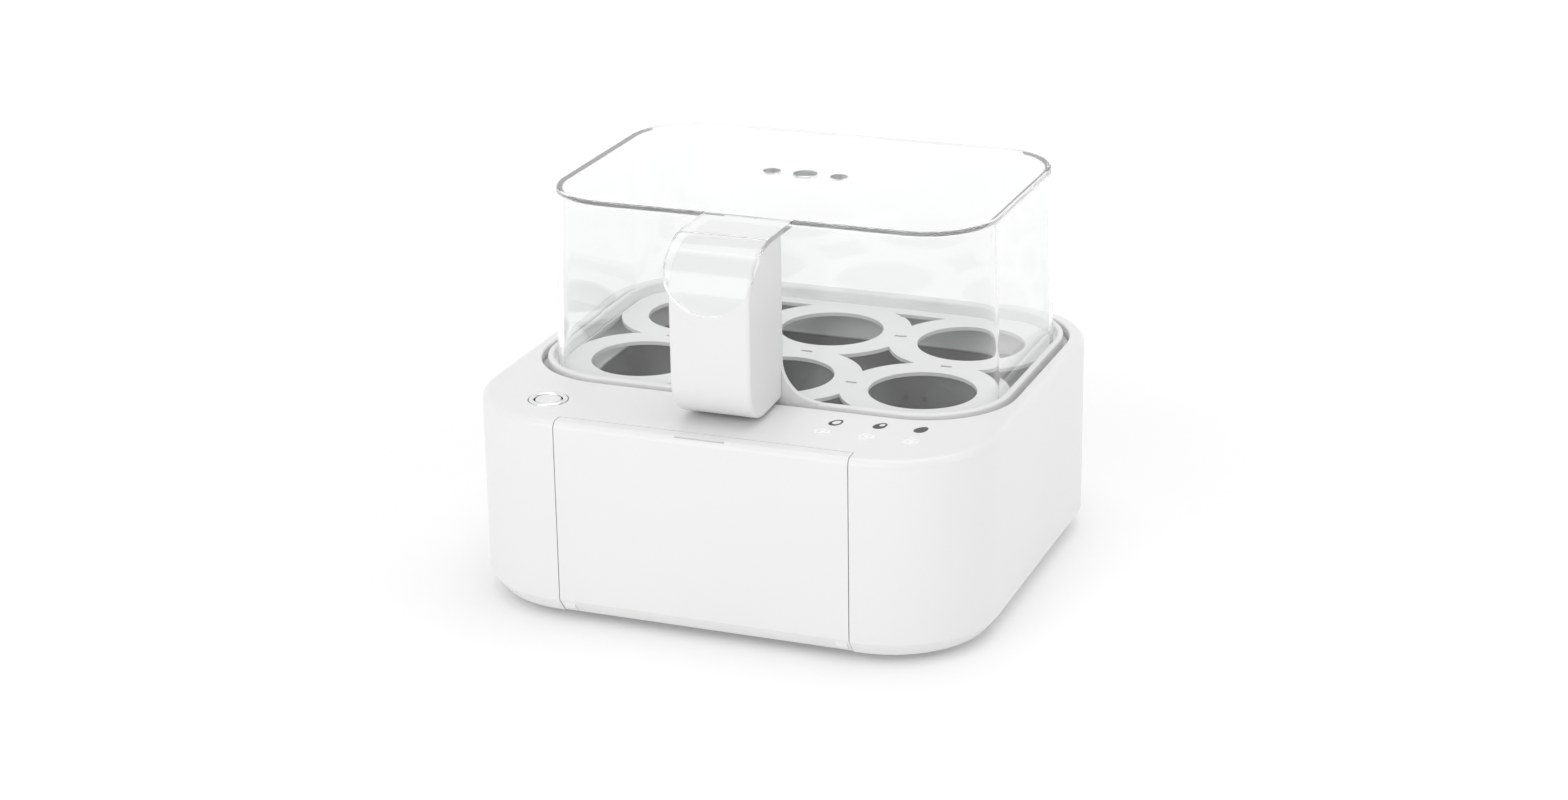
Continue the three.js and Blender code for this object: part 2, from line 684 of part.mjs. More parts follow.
// The button, its plunger and the switch share one axis, z = 0 at the board's top.
const SWITCH_TOP = 2.4;
const PLUNGER = [SWITCH_TOP - 0.6, SWITCH_TOP + 1.1];
const STEM_END = PLUNGER[1] + GAP;
const CAP_UNDER = DECK_UNDER + 0.5 - BOARD_TOP;
const CAP_TOP = DECK_TOP + 0.2 - BOARD_TOP;

function pushButton() {
  return lathe([
    [0, STEM_END],
    [2, STEM_END],
    [2, CAP_UNDER],
    [BUTTON_RADIUS, CAP_UNDER],
    [BUTTON_RADIUS, CAP_TOP - 0.5],
    [BUTTON_RADIUS - 0.5, CAP_TOP],
    [0, CAP_TOP - 0.5],
  ]);
}

function buttonRing() {
  const inner = BUTTON_RADIUS + RUNNING_GAP;
  const outer = BUTTON_RADIUS + BUTTON_RING;
  const seat = DECK_TOP - 1 + GAP - BOARD_TOP;
  const top = DECK_TOP + 0.7 - BOARD_TOP;
  return lathe([
    [inner, DECK_UNDER - BOARD_TOP],
    [inner + 1, DECK_UNDER - BOARD_TOP],
    [inner + 1, seat],
    [outer, seat],
    [outer, top - 0.7],
    [outer - 0.6, top],
    [inner + 0.4, top],
    [inner, top - 0.4],
    [inner, DECK_UNDER - BOARD_TOP],
  ]);
}

function buttonSwitch() {
  const can = block([-3, 3], [-3, 3], [GAP, SWITCH_TOP]);
  return cut(can, rod(1.9, [PLUNGER[0] - BUTTON_TRAVEL - 0.2, SWITCH_TOP + 1], [0, 0], 16));
}

// Clear light pipe with a low dome, from just above its lamp to just above the deck.
function lightPipe() {
  const foot = LAMP_HEIGHT + 2 * GAP;
  const deck = DECK_TOP - BOARD_TOP;
  const dome = [0, 0.35, 0.65, 0.9, 1].map((share) => [
    LIGHT_RADIUS * Math.sqrt(1 - share * share),
    deck + share * 0.9,
  ]);
  return lathe([[0, foot], [LIGHT_RADIUS, foot], ...dome], 20);
}

// ---------------------------------------------------------------- tray, handle and lid

const eggPlaces = () =>
  Array.from({ length: EGG_COLUMNS * EGG_ROWS }, (_, i) => [
    ((i % EGG_COLUMNS) - (EGG_COLUMNS - 1) / 2) * EGG_PITCH,
    (Math.floor(i / EGG_COLUMNS) - (EGG_ROWS - 1) / 2) * EGG_PITCH,
  ]);

// Short slots where neighbouring rings meet.
function drainSlots(levels) {
  const [w, d] = DRAIN_SLOT;
  const places = eggPlaces().flatMap(([x, y]) => [
    [x + EGG_PITCH / 2, y],
    [x, y + EGG_PITCH / 2],
  ]);
  const halfX = ((EGG_COLUMNS - 1) * EGG_PITCH) / 2;
  const halfY = ((EGG_ROWS - 1) * EGG_PITCH) / 2;
  return places
    .filter(([x, y]) => x <= halfX && y <= halfY)
    .map(([x, y]) => block([x - w / 2, x + w / 2], [y - d / 2, y + d / 2], levels));
}

// The upright strap at the tray's front edge, with a flared root on the rim.
function handleStrap() {
  const half = HANDLE_BACK / 2 - GAP;
  const shape = new THREE.Shape();
  shape.moveTo(-half - ROOT_FLARE, LIP_TOP - 1);
  shape.lineTo(half + ROOT_FLARE, LIP_TOP - 1);
  shape.lineTo(half + ROOT_FLARE, LIP_TOP);
  shape.absarc(half + ROOT_FLARE, LIP_TOP + ROOT_FLARE, ROOT_FLARE, -Math.PI / 2, -Math.PI, true);
  shape.lineTo(half, STRAP_TOP);
  shape.lineTo(-half, STRAP_TOP);
  shape.lineTo(-half, LIP_TOP + ROOT_FLARE);
  shape.absarc(-half - ROOT_FLARE, LIP_TOP + ROOT_FLARE, ROOT_FLARE, 0, -Math.PI / 2, true);
  return frontProfile(shape, [LIP_OUTER, LIP_INNER], 6);
}

function eggTray() {
  const through = [PLATE_UNDER - 1, PLATE_TOP + 1];
  const plate = slab(inset(tray, rimInset), [PLATE_UNDER, PLATE_TOP]);
  const rim = loft([
    [tray, FLANGE_TOP + GAP],
    [tray, LIP_TOP - 0.8],
    [inset(tray, 0.8), LIP_TOP],
  ]);
  const lidSeat = slab(inset(tray, TRAY_LIP), [PLATE_TOP, LIP_TOP + 1]);
  const border = section(
    tray.w - 2 * TRAY_FRAME_SIDE,
    tray.d - 2 * TRAY_FRAME_FRONT,
    tray.r - TRAY_FRAME_SIDE,
  );
  const ringOuter = EGG_PITCH / 2 + RING_OVERLAP;
  const rings = eggPlaces().map((at) => rod(ringOuter, through, at, 36));
  const gaps = cut(slab(border, through), ...rings);
  const eggHoles = eggPlaces().map((at) => rod(EGG_HOLE_DIAMETER / 2, through, at, 32));
  const flat = cut(join(plate, cut(rim, lidSeat)), gaps, ...eggHoles, ...drainSlots(through));
  return join(flat, handleStrap());
}

// Outline of the handle in Y and Z, shrunk by `by` for the hollow inside it.
function handleOutline(by, back) {
  const [nose, top, under] = [HANDLE_NOSE + by, HANDLE_TOP - by, HANDLE_UNDER + by];
  const roll = TAB_ROLL - LID_WALL - RUNNING_GAP - by;
  const toe = HANDLE_TOE - by;
  const shape = new THREE.Shape();
  shape.moveTo(back, under);
  shape.lineTo(back, top);
  shape.lineTo(nose + roll, top);
  shape.absarc(nose + roll, top - roll, roll, Math.PI / 2, Math.PI, false);
  shape.lineTo(nose, under + toe);
  shape.absarc(nose + toe, under + toe, toe, Math.PI, 1.5 * Math.PI, false);
  return shape;
}

// A wedge in plan, a little wider at the front, that shapes the handle's sides.
function handlePlan(by) {
  const [back, front] = [HANDLE_BACK / 2 - by, HANDLE_FRONT / 2 - by];
  const plan = polygon([
    [-back, LIP_INNER + 1],
    [-front, HANDLE_NOSE - 1],
    [front, HANDLE_NOSE - 1],
    [back, LIP_INNER + 1],
  ]);
  const prism = new THREE.ExtrudeGeometry(plan, {
    depth: HANDLE_TOP - HANDLE_UNDER + 2,
    bevelEnabled: false,
  });
  return solid(prism.translate(0, 0, HANDLE_UNDER - 1));
}

// Hollow cover that clips over the strap: closed in front, at its sides, top and bottom.
function handleCover() {
  const strapFace = LIP_OUTER - GAP;
  const wide = [-HANDLE_FRONT, HANDLE_FRONT];
  const outer = sideProfile(handleOutline(0, LIP_INNER), wide).intersect(handlePlan(0));
  const hollow = sideProfile(handleOutline(HANDLE_WALL, LIP_INNER + 2), wide, 6).intersect(
    handlePlan(HANDLE_WALL),
  );
  const strapRoom = block(
    wide,
    [strapFace, LIP_INNER + 2],
    [HANDLE_UNDER - 1, STRAP_TOP + GAP],
  );
  return cut(outer, hollow, strapRoom);
}

// Round end of the lid's tab, seen from the front.
function tabEnd() {
  const half = TAB_WIDTH / 2;
  const low = LID_TOP - TAB_DROP;
  const shape = new THREE.Shape();
  shape.moveTo(half, LID_TOP + 1);
  shape.lineTo(-half, LID_TOP + 1);
  shape.lineTo(-half, low + half);
  shape.absarc(0, low + half, half, Math.PI, 2 * Math.PI, false);
  return frontProfile(shape, [TAB_FRONT - 1, LID_FRONT + LID_WALL], 10);
}

// Grip tab: out from the lid's top edge, rolled over the handle and down in front of it.
function lidTab() {
  const low = LID_TOP - TAB_DROP - 1;
  const roll = TAB_ROLL;
  const inner = roll - LID_WALL;
  const root = LID_FRONT + LID_WALL / 2;
  const turn = [TAB_FRONT + roll, LID_TOP - roll];
  const shape = new THREE.Shape();
  shape.moveTo(root, LID_TOP - LID_WALL);
  shape.lineTo(root, LID_TOP - LID_EDGE);
  shape.lineTo(LID_FRONT + LID_EDGE, LID_TOP);
  shape.lineTo(turn[0], LID_TOP);
  shape.absarc(turn[0], turn[1], roll, Math.PI / 2, Math.PI, false);
  shape.lineTo(TAB_FRONT, low);
  shape.lineTo(TAB_FRONT + LID_WALL, low);
  shape.lineTo(TAB_FRONT + LID_WALL, turn[1]);
  shape.absarc(turn[0], turn[1], inner, Math.PI, Math.PI / 2, true);
  return sideProfile(shape, [-TAB_WIDTH, TAB_WIDTH], 7).intersect(tabEnd());
}

function lid() {
  const outer = loft([[lidFoot, LID_UNDER], ...roundedTop(lidCrown, LID_EDGE, LID_TOP, 2)]);
  const hollow = loft([
    [inset(lidFoot, LID_WALL), LID_UNDER - 1],
    [inset(lidFoot, LID_WALL), LID_UNDER],
    [inset(lidCrown, LID_WALL), LID_TOP - LID_WALL],
  ]);
  const vents = [-1, 1].map((side) =>
    rod(VENT_RADIUS, [LID_TOP - LID_WALL - 1, LID_TOP + 1], [side * VENT_PITCH, 0], 20),
  );
  const middle = rod(MIDDLE_VENT_RADIUS, [LID_TOP - LID_WALL - 1, LID_TOP + 1], [0, 0], 24);
  return cut(join(outer, lidTab()), hollow, middle, ...vents);
}

// ---------------------------------------------------------------- materials

function finish(color, roughness, metalness = 0, opacity = 1) {
  return new THREE.MeshStandardMaterial({
    color,
    roughness,
    metalness,
    opacity,
    transparent: opacity < 1,
  });
}

const WHITE = finish(0xf0f0ef, 0.35);
const TRAY_WHITE = finish(0xf2f2f1, 0.45);
const CLEAR = finish(0xf4f7f8, 0.08, 0, 0.3);
const NONSTICK = finish(0x3c3e40, 0.5, 0.3);
const STEEL = finish(0xb8babc, 0.35, 1);
const CHROME = finish(0xd8dadc, 0.12, 1);
const ALUMINIUM = finish(0xc4c6c8, 0.45, 1);
const RUBBER = finish(0x8c8e90, 0.8);
const SILICONE = finish(0xd9dadb, 0.7);
const GREY_PLASTIC = finish(0x8f9295, 0.55);
const BOARD_GREEN = finish(0x1f5a3a, 0.5);
const BLACK_PLASTIC = finish(0x26272a, 0.5);
const CERAMIC = finish(0xe6e0d4, 0.6);
const LENS = finish(0xf2f3f2, 0.2, 0, 0.85);

// ---------------------------------------------------------------- assembly

const cooker = new THREE.Group();

function group(x = 0, y = 0, z = 0) {
  const made = new THREE.Group();
  made.position.set(x, y, z);
  cooker.add(made);
  return made;
}

function add(parent, name, made, material, [x, y, z] = [0, 0, 0]) {
  const mesh = new THREE.Mesh(geometryOf(made), material);
  mesh.name = name;
  mesh.position.set(x, y, z);
  parent.add(mesh);
  return mesh;
}

// Base, bottom cover and what fastens them
const powerPosts = [-1, 1].flatMap((side) =>
  [-1, 1].map((end) => [
    POWER_BOARD_X + side * (POWER_BOARD[0] / 2 - 4),
    PAN_Y + end * (POWER_BOARD[1] / 2 - 4),
  ]),
);
add(cooker, "base_shell", baseShell(), WHITE);
add(cooker, "bottom_cover", bottomCover(powerPosts), GREY_PLASTIC);
const cornerNames = ["front_left", "rear_left", "front_right", "rear_right"];
cornerNames.forEach((corner, i) => {
  add(cooker, `foot_${corner}`, foot(), RUBBER, [...FEET[i], 0]);
  add(cooker, `cover_screw_${corner}`, screw(11), STEEL, [...POSTS[i], FOOT_LIFT + 0.1]);
});
add(cooker, "cord_gland", cordGland(), RUBBER, [GLAND_X, 0, GLAND_Z]);

// Pan and heater
add(cooker, "water_pan", waterPan(), NONSTICK);
add(cooker, "pan_seal", panSeal(), SILICONE);
add(cooker, "pan_retainer", panRetainer(), STEEL);
EARS.forEach((at, i) => {
  const z = EAR_TOP - RETAINER_HEIGHT - GAP - SCREW_HEAD[1];
  add(cooker, `retainer_screw_${["left", "right"][i]}`, screw(5), STEEL, [...at, z]);
});
add(cooker, "heat_spreader", heatSpreader(), ALUMINIUM);
const heater = group(0, PAN_Y, HEATER_Z);
add(heater, "heating_tube", heatingTube(), STEEL);
[-1, 1].forEach((side) => {
  const ends = [side * (10 - GAP), side * 3].sort((a, b) => a - b);
  const bush = crossRod(2.8, ends, [HEATER_LOOP[1] / 2, 0], 12);
  add(heater, `heater_bush_${side < 0 ? "left" : "right"}`, bush, CERAMIC);
});
const sensor = group(THERMOSTAT_X, PAN_Y, THERMOSTAT_UNDER);
add(sensor, "thermostat", thermostat(), BLACK_PLASTIC);
add(sensor, "thermostat_strap", thermostatStrap(), STEEL, [0, 0, -GAP]);
const fuse = crossRod(2, [-8, 8], [0, 0], 12);
add(cooker, "thermal_fuse", fuse, CERAMIC, [18, PAN_Y, SPREADER_UNDER - GAP - 2]);

// Power electronics on the bottom cover
const power = group(POWER_BOARD_X, PAN_Y, POWER_BOARD_UNDER);
const [boardW, boardD] = POWER_BOARD;
const powerPlate = block([-boardW / 2, boardW / 2], [-boardD / 2, boardD / 2], [0, BOARD]);
add(power, "power_board", powerPlate, BOARD_GREEN);
add(power, "relay", block([-9, 9], [-7, 7], [BOARD + GAP, BOARD + 12]), BLACK_PLASTIC, [-18, 6, 0]);
add(power, "capacitor", rod(4.5, [BOARD + GAP, BOARD + 11], [25, 8], 16), BLACK_PLASTIC);
add(power, "terminal_block", block([-11, 11], [-5, 5], [BOARD + GAP, BOARD + 9]), CERAMIC, [-24, 20, 0]);

// Controls under the deck
add(cooker, "control_board", controlBoard(), BOARD_GREEN);
const button = group(BUTTON_X, BUTTON_Y, BOARD_TOP);
add(button, "button_ring", buttonRing(), CHROME);
add(button, "push_button", pushButton(), WHITE);
add(button, "button_switch", buttonSwitch(), BLACK_PLASTIC);
add(button, "switch_plunger", rod(1.5, PLUNGER, [0, 0], 12), GREY_PLASTIC);
["soft", "medium", "hard"].forEach((level, i) => {
  const place = group(lightPlaces()[i], LIGHT_Y, BOARD_TOP);
  add(place, `light_pipe_${level}`, lightPipe(), LENS);
  add(place, `lamp_${level}`, block([-1.5, 1.5], [-1.5, 1.5], [GAP, LAMP_HEIGHT]), LENS);
});
const speaker = rod(7, [BOARD_UNDER - GAP - 5, BOARD_UNDER - GAP], [0, 0], 20);
add(cooker, "speaker", speaker, BLACK_PLASTIC, [63, LIGHT_Y, 0]);

// Storage bay, its door and what it holds
add(cooker, "storage_liner", storageLiner(), TRAY_WHITE);
add(cooker, "door_panel", doorPanel(), WHITE);
const strikeHalf = STRIKE[0] / 2;
const strike = block([-strikeHalf, strikeHalf], [0, STRIKE[1]], [0, STRIKE[2]]);
add(cooker, "door_strike", strike, STEEL, [0, STRIKE_Y, MAGNET_Z - 1]);
const magnet = block([-MAGNET[0] / 2, MAGNET[0] / 2], [0, MAGNET[1]], [0, MAGNET[2]]);
add(cooker, "door_magnet", magnet, BLACK_PLASTIC, [0, MAGNET_FRONT, MAGNET_Z]);
[-1, 1].forEach((side) => {
  const inner = DOOR_WIDTH / 2 - 1 - EAR_WIDTH;
  const ends = [side * inner, side * (CHEEK_OUT - GAP)].sort((a, b) => a - b);
  const pin = crossRod(HINGE_PIN_RADIUS, ends, [HINGE_Y, HINGE_Z], 12);
  add(cooker, `hinge_pin_${side < 0 ? "left" : "right"}`, pin, STEEL);
});
const cup = group(CUP_LEFT, CUP_Y, CUP_Z);
cup.rotation.y = Math.PI / 2;
add(cup, "measuring_cup", measuringCup(), CLEAR);
add(cup, "piercing_needle", piercingNeedle(), STEEL);

// What lifts out of the pan
const liftOut = group(0, PAN_Y, 0);
add(liftOut, "egg_tray", eggTray(), TRAY_WHITE);
add(liftOut, "handle_cover", handleCover(), TRAY_WHITE);
add(liftOut, "lid", lid(), CLEAR);

export default cooker;
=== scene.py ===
# %% [markdown]
# # An electric egg cooker, piece by piece
#
# The real object is a white plastic base with a heated pan sunk in its deck. A tray for six eggs
# hangs in the pan, and a clear lid stands on the tray. The solids that move and collide are
# already made, and they load here as a fixed frame. Blender adds what an eye looks for: round
# corners without facets, thin bright edges, clear plastic, and surfaces that aren't perfectly
# even. Every piece is built in the frame's own place, so nothing has to be fitted by hand.

# %% Load the frame
import math

import bmesh
import bpy
from mathutils import Matrix, Vector


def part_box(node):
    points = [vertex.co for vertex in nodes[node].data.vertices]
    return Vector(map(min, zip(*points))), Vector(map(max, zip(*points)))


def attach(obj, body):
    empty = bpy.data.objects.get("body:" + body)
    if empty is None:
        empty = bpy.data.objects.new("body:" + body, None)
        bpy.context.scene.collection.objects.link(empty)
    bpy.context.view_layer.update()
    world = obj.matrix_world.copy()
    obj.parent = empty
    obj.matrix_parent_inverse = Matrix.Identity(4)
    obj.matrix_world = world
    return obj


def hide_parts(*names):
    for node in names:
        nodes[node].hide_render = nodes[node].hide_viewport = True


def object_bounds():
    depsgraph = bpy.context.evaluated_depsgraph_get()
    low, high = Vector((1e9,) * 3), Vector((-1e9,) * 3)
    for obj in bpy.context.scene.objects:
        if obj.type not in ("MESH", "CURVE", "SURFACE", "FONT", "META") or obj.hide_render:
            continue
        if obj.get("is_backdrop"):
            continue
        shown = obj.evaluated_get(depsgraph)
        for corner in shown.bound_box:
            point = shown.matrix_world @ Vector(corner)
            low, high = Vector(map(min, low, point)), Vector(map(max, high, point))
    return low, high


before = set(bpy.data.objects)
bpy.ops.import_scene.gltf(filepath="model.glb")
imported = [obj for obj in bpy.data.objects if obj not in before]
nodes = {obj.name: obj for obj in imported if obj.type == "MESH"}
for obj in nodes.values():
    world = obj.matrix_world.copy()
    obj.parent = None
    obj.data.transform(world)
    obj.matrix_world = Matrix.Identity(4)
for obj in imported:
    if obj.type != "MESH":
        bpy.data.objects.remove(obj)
cad_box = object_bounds()
MM = 0.001

# %% [markdown]
# ## Camera
# A camera needs a place, a direction and a focal length. Here it stands low on the right, so
# that the front door, the deck and the inside of the tray all show. It is turned by less than a
# degree round its own axis, as a hand-held camera is. The three directions (right, up and back)
# are the columns of its rotation matrix, which is clearer than three Euler angles.

# %% Place the camera
AZIMUTH, ELEVATION, ROLL = (math.radians(a) for a in (21.18, 20.03, -0.841))
camera_data = bpy.data.cameras.new("Camera")
camera_data.sensor_width = 36
camera_data.lens = 71.75
camera = bpy.data.objects.new("Camera", camera_data)
bpy.context.collection.objects.link(camera)

along_floor = math.cos(ELEVATION)
forward = Vector((
    -along_floor * math.sin(AZIMUTH), along_floor * math.cos(AZIMUTH), -math.sin(ELEVATION)
))
flat_right = Vector((math.cos(AZIMUTH), math.sin(AZIMUTH), 0))
flat_up = flat_right.cross(forward)
right = flat_right * math.cos(ROLL) + flat_up * math.sin(ROLL)
up = flat_up * math.cos(ROLL) - flat_right * math.sin(ROLL)
CAMERA_PLACE = (0.35737, -0.92819, 0.41786)
turn_to_view = Matrix((right, up, -forward)).transposed().to_4x4()
camera.matrix_world = Matrix.Translation(CAMERA_PLACE) @ turn_to_view
bpy.context.scene.camera = camera
print("camera", [round(v, 3) for v in camera.location], "lens", camera_data.lens)

# %% [markdown]
# ## One-node helpers
# The light, the shared effects and the materials all use the same few shader nodes: a Map
# Range, a Math node, a colour mix and the object's own coordinates. A short function adds each
# of them, and takes either a plain number or another node's output. A chain of nodes then reads
# like a formula, which is easier to follow than a list of links.


# %% Helpers that add one shader node each
def feed(tree, socket, value):
    """Links another node's output to a socket, or sets the socket to a plain value."""
    if isinstance(value, bpy.types.NodeSocket):
        tree.links.new(value, socket)
    else:
        socket.default_value = value


def span(tree, value, low, high, to_low=0.0, to_high=1.0):
    """Maps a value from one range to another, and stops at both ends."""
    made = tree.nodes.new("ShaderNodeMapRange")
    feed(tree, made.inputs["Value"], value)
    bounds = {"From Min": low, "From Max": high, "To Min": to_low, "To Max": to_high}
    for label, bound in bounds.items():
        feed(tree, made.inputs[label], bound)
    return made.outputs["Result"]


def arithmetic(tree, operation, a, b):
    made = tree.nodes.new("ShaderNodeMath")
    made.operation = operation
    feed(tree, made.inputs[0], a)
    feed(tree, made.inputs[1], b)
    return made.outputs["Value"]


def mixed(tree, factor, first, second):
    """Mixes two colours. The colour sockets are found by number, since their names repeat."""
    made = tree.nodes.new("ShaderNodeMix")
    made.data_type = "RGBA"
    feed(tree, made.inputs["Factor"], factor)
    feed(tree, made.inputs[6], first)
    feed(tree, made.inputs[7], second)
    return made.outputs[2]


def object_coordinates(tree):
    return tree.nodes.new("ShaderNodeTexCoord").outputs["Object"]


print("node helpers ready")

# %% [markdown]
# ## Light
# White plastic shows its shape only through soft differences in tone, so the light is a pale
# room with large soft boxes. The front box is the strongest, because the front is the brightest
# side. The Standard view keeps white as white.

# %% Light the room
scene = bpy.context.scene
scene.view_settings.view_transform = "Standard"
scene.world = bpy.data.worlds.new("Pale room")
scene.world.use_nodes = True
ROOM_LIGHT, ROOM_MIRRORED = 0.62, 1.12


def pale_room(tree):
    """Lights surfaces gently, but looks brighter where it is mirrored or seen through plastic."""
    ray = tree.nodes.new("ShaderNodeLightPath")
    mirrored = arithmetic(
        tree, "MAXIMUM", ray.outputs["Is Glossy Ray"], ray.outputs["Is Transmission Ray"]
    )
    room = tree.nodes["Background"]
    feed(tree, room.inputs["Strength"], span(tree, mirrored, 0, 1, ROOM_LIGHT, ROOM_MIRRORED))
    room.inputs["Color"].default_value = (1, 1, 1, 1)


pale_room(scene.world.node_tree)


# %% Hang the soft boxes
def soft_box(name, place, target, width, height, watts):
    data = bpy.data.lights.new(name, "AREA")
    data.shape = "RECTANGLE"
    data.size, data.size_y, data.energy = width, height, watts
    lamp = bpy.data.objects.new(name, data)
    lamp.location = place
    lamp.rotation_euler = (Vector(target) - Vector(place)).to_track_quat("-Z", "Y").to_euler()
    bpy.context.collection.objects.link(lamp)


middle = (0, 0, 0.06)
soft_box("Front box", (-0.35, -1.3, 0.55), middle, 1.4, 1.0, 5.6)
soft_box("Top box", (0.1, 0.2, 1.3), middle, 1.2, 1.2, 5.5)
soft_box("Side box", (1.2, -0.1, 0.5), middle, 0.5, 0.9, 1.3)

# %% [markdown]
# ## Floor
# A white floor turns grey where the light on it grows weak. So this one gives off a little light
# of its own, and more of it further away: it stays white all round, and still takes the soft
# shadow under the object. A plain lit floor would need far more lamps for the same result.

# %% Lay the floor
FLOOR_HALF = 6
GLOW_FROM, GLOW_TO = 0.15, 0.9
GLOW_NEAR, GLOW_FAR = 0.17, 0.42


def floor_material():
    made = bpy.data.materials.new("Pale floor")
    made.use_nodes = True
    tree = made.node_tree
    shader = tree.nodes["Principled BSDF"]
    shader.inputs["Base Color"].default_value = (0.86, 0.86, 0.86, 1)
    shader.inputs["Roughness"].default_value = 0.9
    shader.inputs["Specular IOR Level"].default_value = 0.1
    shader.inputs["Emission Color"].default_value = (1, 1, 1, 1)
    distance = tree.nodes.new("ShaderNodeVectorMath")
    distance.operation = "LENGTH"
    feed(tree, distance.inputs[0], object_coordinates(tree))
    glow = span(tree, distance.outputs["Value"], GLOW_FROM, GLOW_TO, GLOW_NEAR, GLOW_FAR)
    feed(tree, shader.inputs["Emission Strength"], glow)
    return made


floor_mesh = bpy.data.meshes.new("Floor")
floor_corners = [(FLOOR_HALF * x, FLOOR_HALF * y, 0) for x, y in ((-1, -1), (1, -1), (1, 1), (-1, 1))]
floor_mesh.from_pydata(floor_corners, [], [(0, 1, 2, 3)])
floor_mesh.materials.append(floor_material())
floor = bpy.data.objects.new("Floor", floor_mesh)
bpy.context.collection.objects.link(floor)
floor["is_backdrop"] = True
print("floor", 2 * FLOOR_HALF, "m across")

# %% [markdown]
# ## Surface effects as node groups
# No real surface has one even tone. Three small effects do most of the work, and several
# materials share them, so each is a node group with its own inputs:
# - **Tone drift** mixes two close colours in wide soft patches.
# - **Handling marks** lets the roughness rise and fall, as where a cloth or a finger has been.
# - **Moulded grain** gives a height: a fine grain from the mould, on a long shallow ripple.
# They read the object's own coordinates in metres, so a grain is the same size on every piece.
# A group puts out only a colour or a number, and each material decides what to do with it.


# %% Helpers for a group and its noise
def new_group(name, inputs, outputs):
    group = bpy.data.node_groups.new(name, "ShaderNodeTree")
    for label, kind, value in inputs:
        socket = group.interface.new_socket(label, in_out="INPUT", socket_type=kind)
        socket.default_value = value
    for label, kind in outputs:
        group.interface.new_socket(label, in_out="OUTPUT", socket_type=kind)
    return group, group.nodes.new("NodeGroupInput"), group.nodes.new("NodeGroupOutput")


FLOAT, COLOUR = "NodeSocketFloat", "NodeSocketColor"


def noise(group, coordinates, scale, detail, roughness=0.5):
    made = group.nodes.new("ShaderNodeTexNoise")
    values = {"Vector": coordinates, "Scale": scale, "Detail": detail, "Roughness": roughness}
    for label, value in values.items():
        feed(group, made.inputs[label], value)
    return made.outputs["Fac"]


NOISE_RANGE = (0.3, 0.7)  # where nearly all of a noise lies
SPECK_SCALE, RIPPLE_SCALE = 900, 60
print("noise between", NOISE_RANGE)


# %% Build the three shared groups
def tone_drift():
    group, given, out = new_group(
        "Tone drift",
        [
            ("Light", COLOUR, (1, 1, 1, 1)),
            ("Dark", COLOUR, (0.9, 0.9, 0.9, 1)),
            ("Scale", FLOAT, 20),
        ],
        [("Colour", COLOUR)],
    )
    wide = noise(group, object_coordinates(group), given.outputs["Scale"], 3)
    colour = mixed(
        group, span(group, wide, *NOISE_RANGE), given.outputs["Light"], given.outputs["Dark"]
    )
    group.links.new(colour, out.inputs["Colour"])
    return group


def handling_marks():
    group, given, out = new_group(
        "Handling marks",
        [("Roughness", FLOAT, 0.3), ("Amount", FLOAT, 0.05), ("Scale", FLOAT, 45)],
        [("Roughness", FLOAT)],
    )
    place = object_coordinates(group)
    wide = noise(group, place, given.outputs["Scale"], 4, 0.6)
    patches = span(group, wide, *NOISE_RANGE, -0.5, 0.5)
    specks = span(group, noise(group, place, SPECK_SCALE, 2), *NOISE_RANGE, -0.25, 0.25)
    change = arithmetic(group, "ADD", patches, specks)
    change = arithmetic(group, "MULTIPLY", change, given.outputs["Amount"])
    total = arithmetic(group, "ADD", given.outputs["Roughness"], change)
    group.links.new(total, out.inputs["Roughness"])
    return group


def moulded_grain():
    group, given, out = new_group(
        "Moulded grain",
        [("Grain scale", FLOAT, 2500), ("Grain", FLOAT, 0.5), ("Ripple", FLOAT, 0.5)],
        [("Height", FLOAT)],
    )
    place = object_coordinates(group)
    fine = noise(group, place, given.outputs["Grain scale"], 2)
    slow = noise(group, place, RIPPLE_SCALE, 1)
    fine = arithmetic(group, "MULTIPLY", fine, given.outputs["Grain"])
    slow = arithmetic(group, "MULTIPLY", slow, given.outputs["Ripple"])
    group.links.new(arithmetic(group, "ADD", fine, slow), out.inputs["Height"])
    return group


DRIFT, MARKS, GRAIN = tone_drift(), handling_marks(), moulded_grain()
print("node groups:", [g.name for g in bpy.data.node_groups])

# %% [markdown]
# ## Materials
# Each finish is one Principled shader fed by the three groups. The values say what the finish
# is: glossy shell plastic, finer satin plastic on the tray, bright and plain metal, rubber.
# A number that is the same all over, such as a clear coat, is set on the shader itself.


# %% A finish from a few values
def place_group(tree, group, values):
    made = tree.nodes.new("ShaderNodeGroup")
    made.node_tree = group
    for label, value in values.items():
        made.inputs[label].default_value = value
    return made


def shade(colour, factor):
    return tuple(min(c * factor, 1) for c in colour) + (1,)


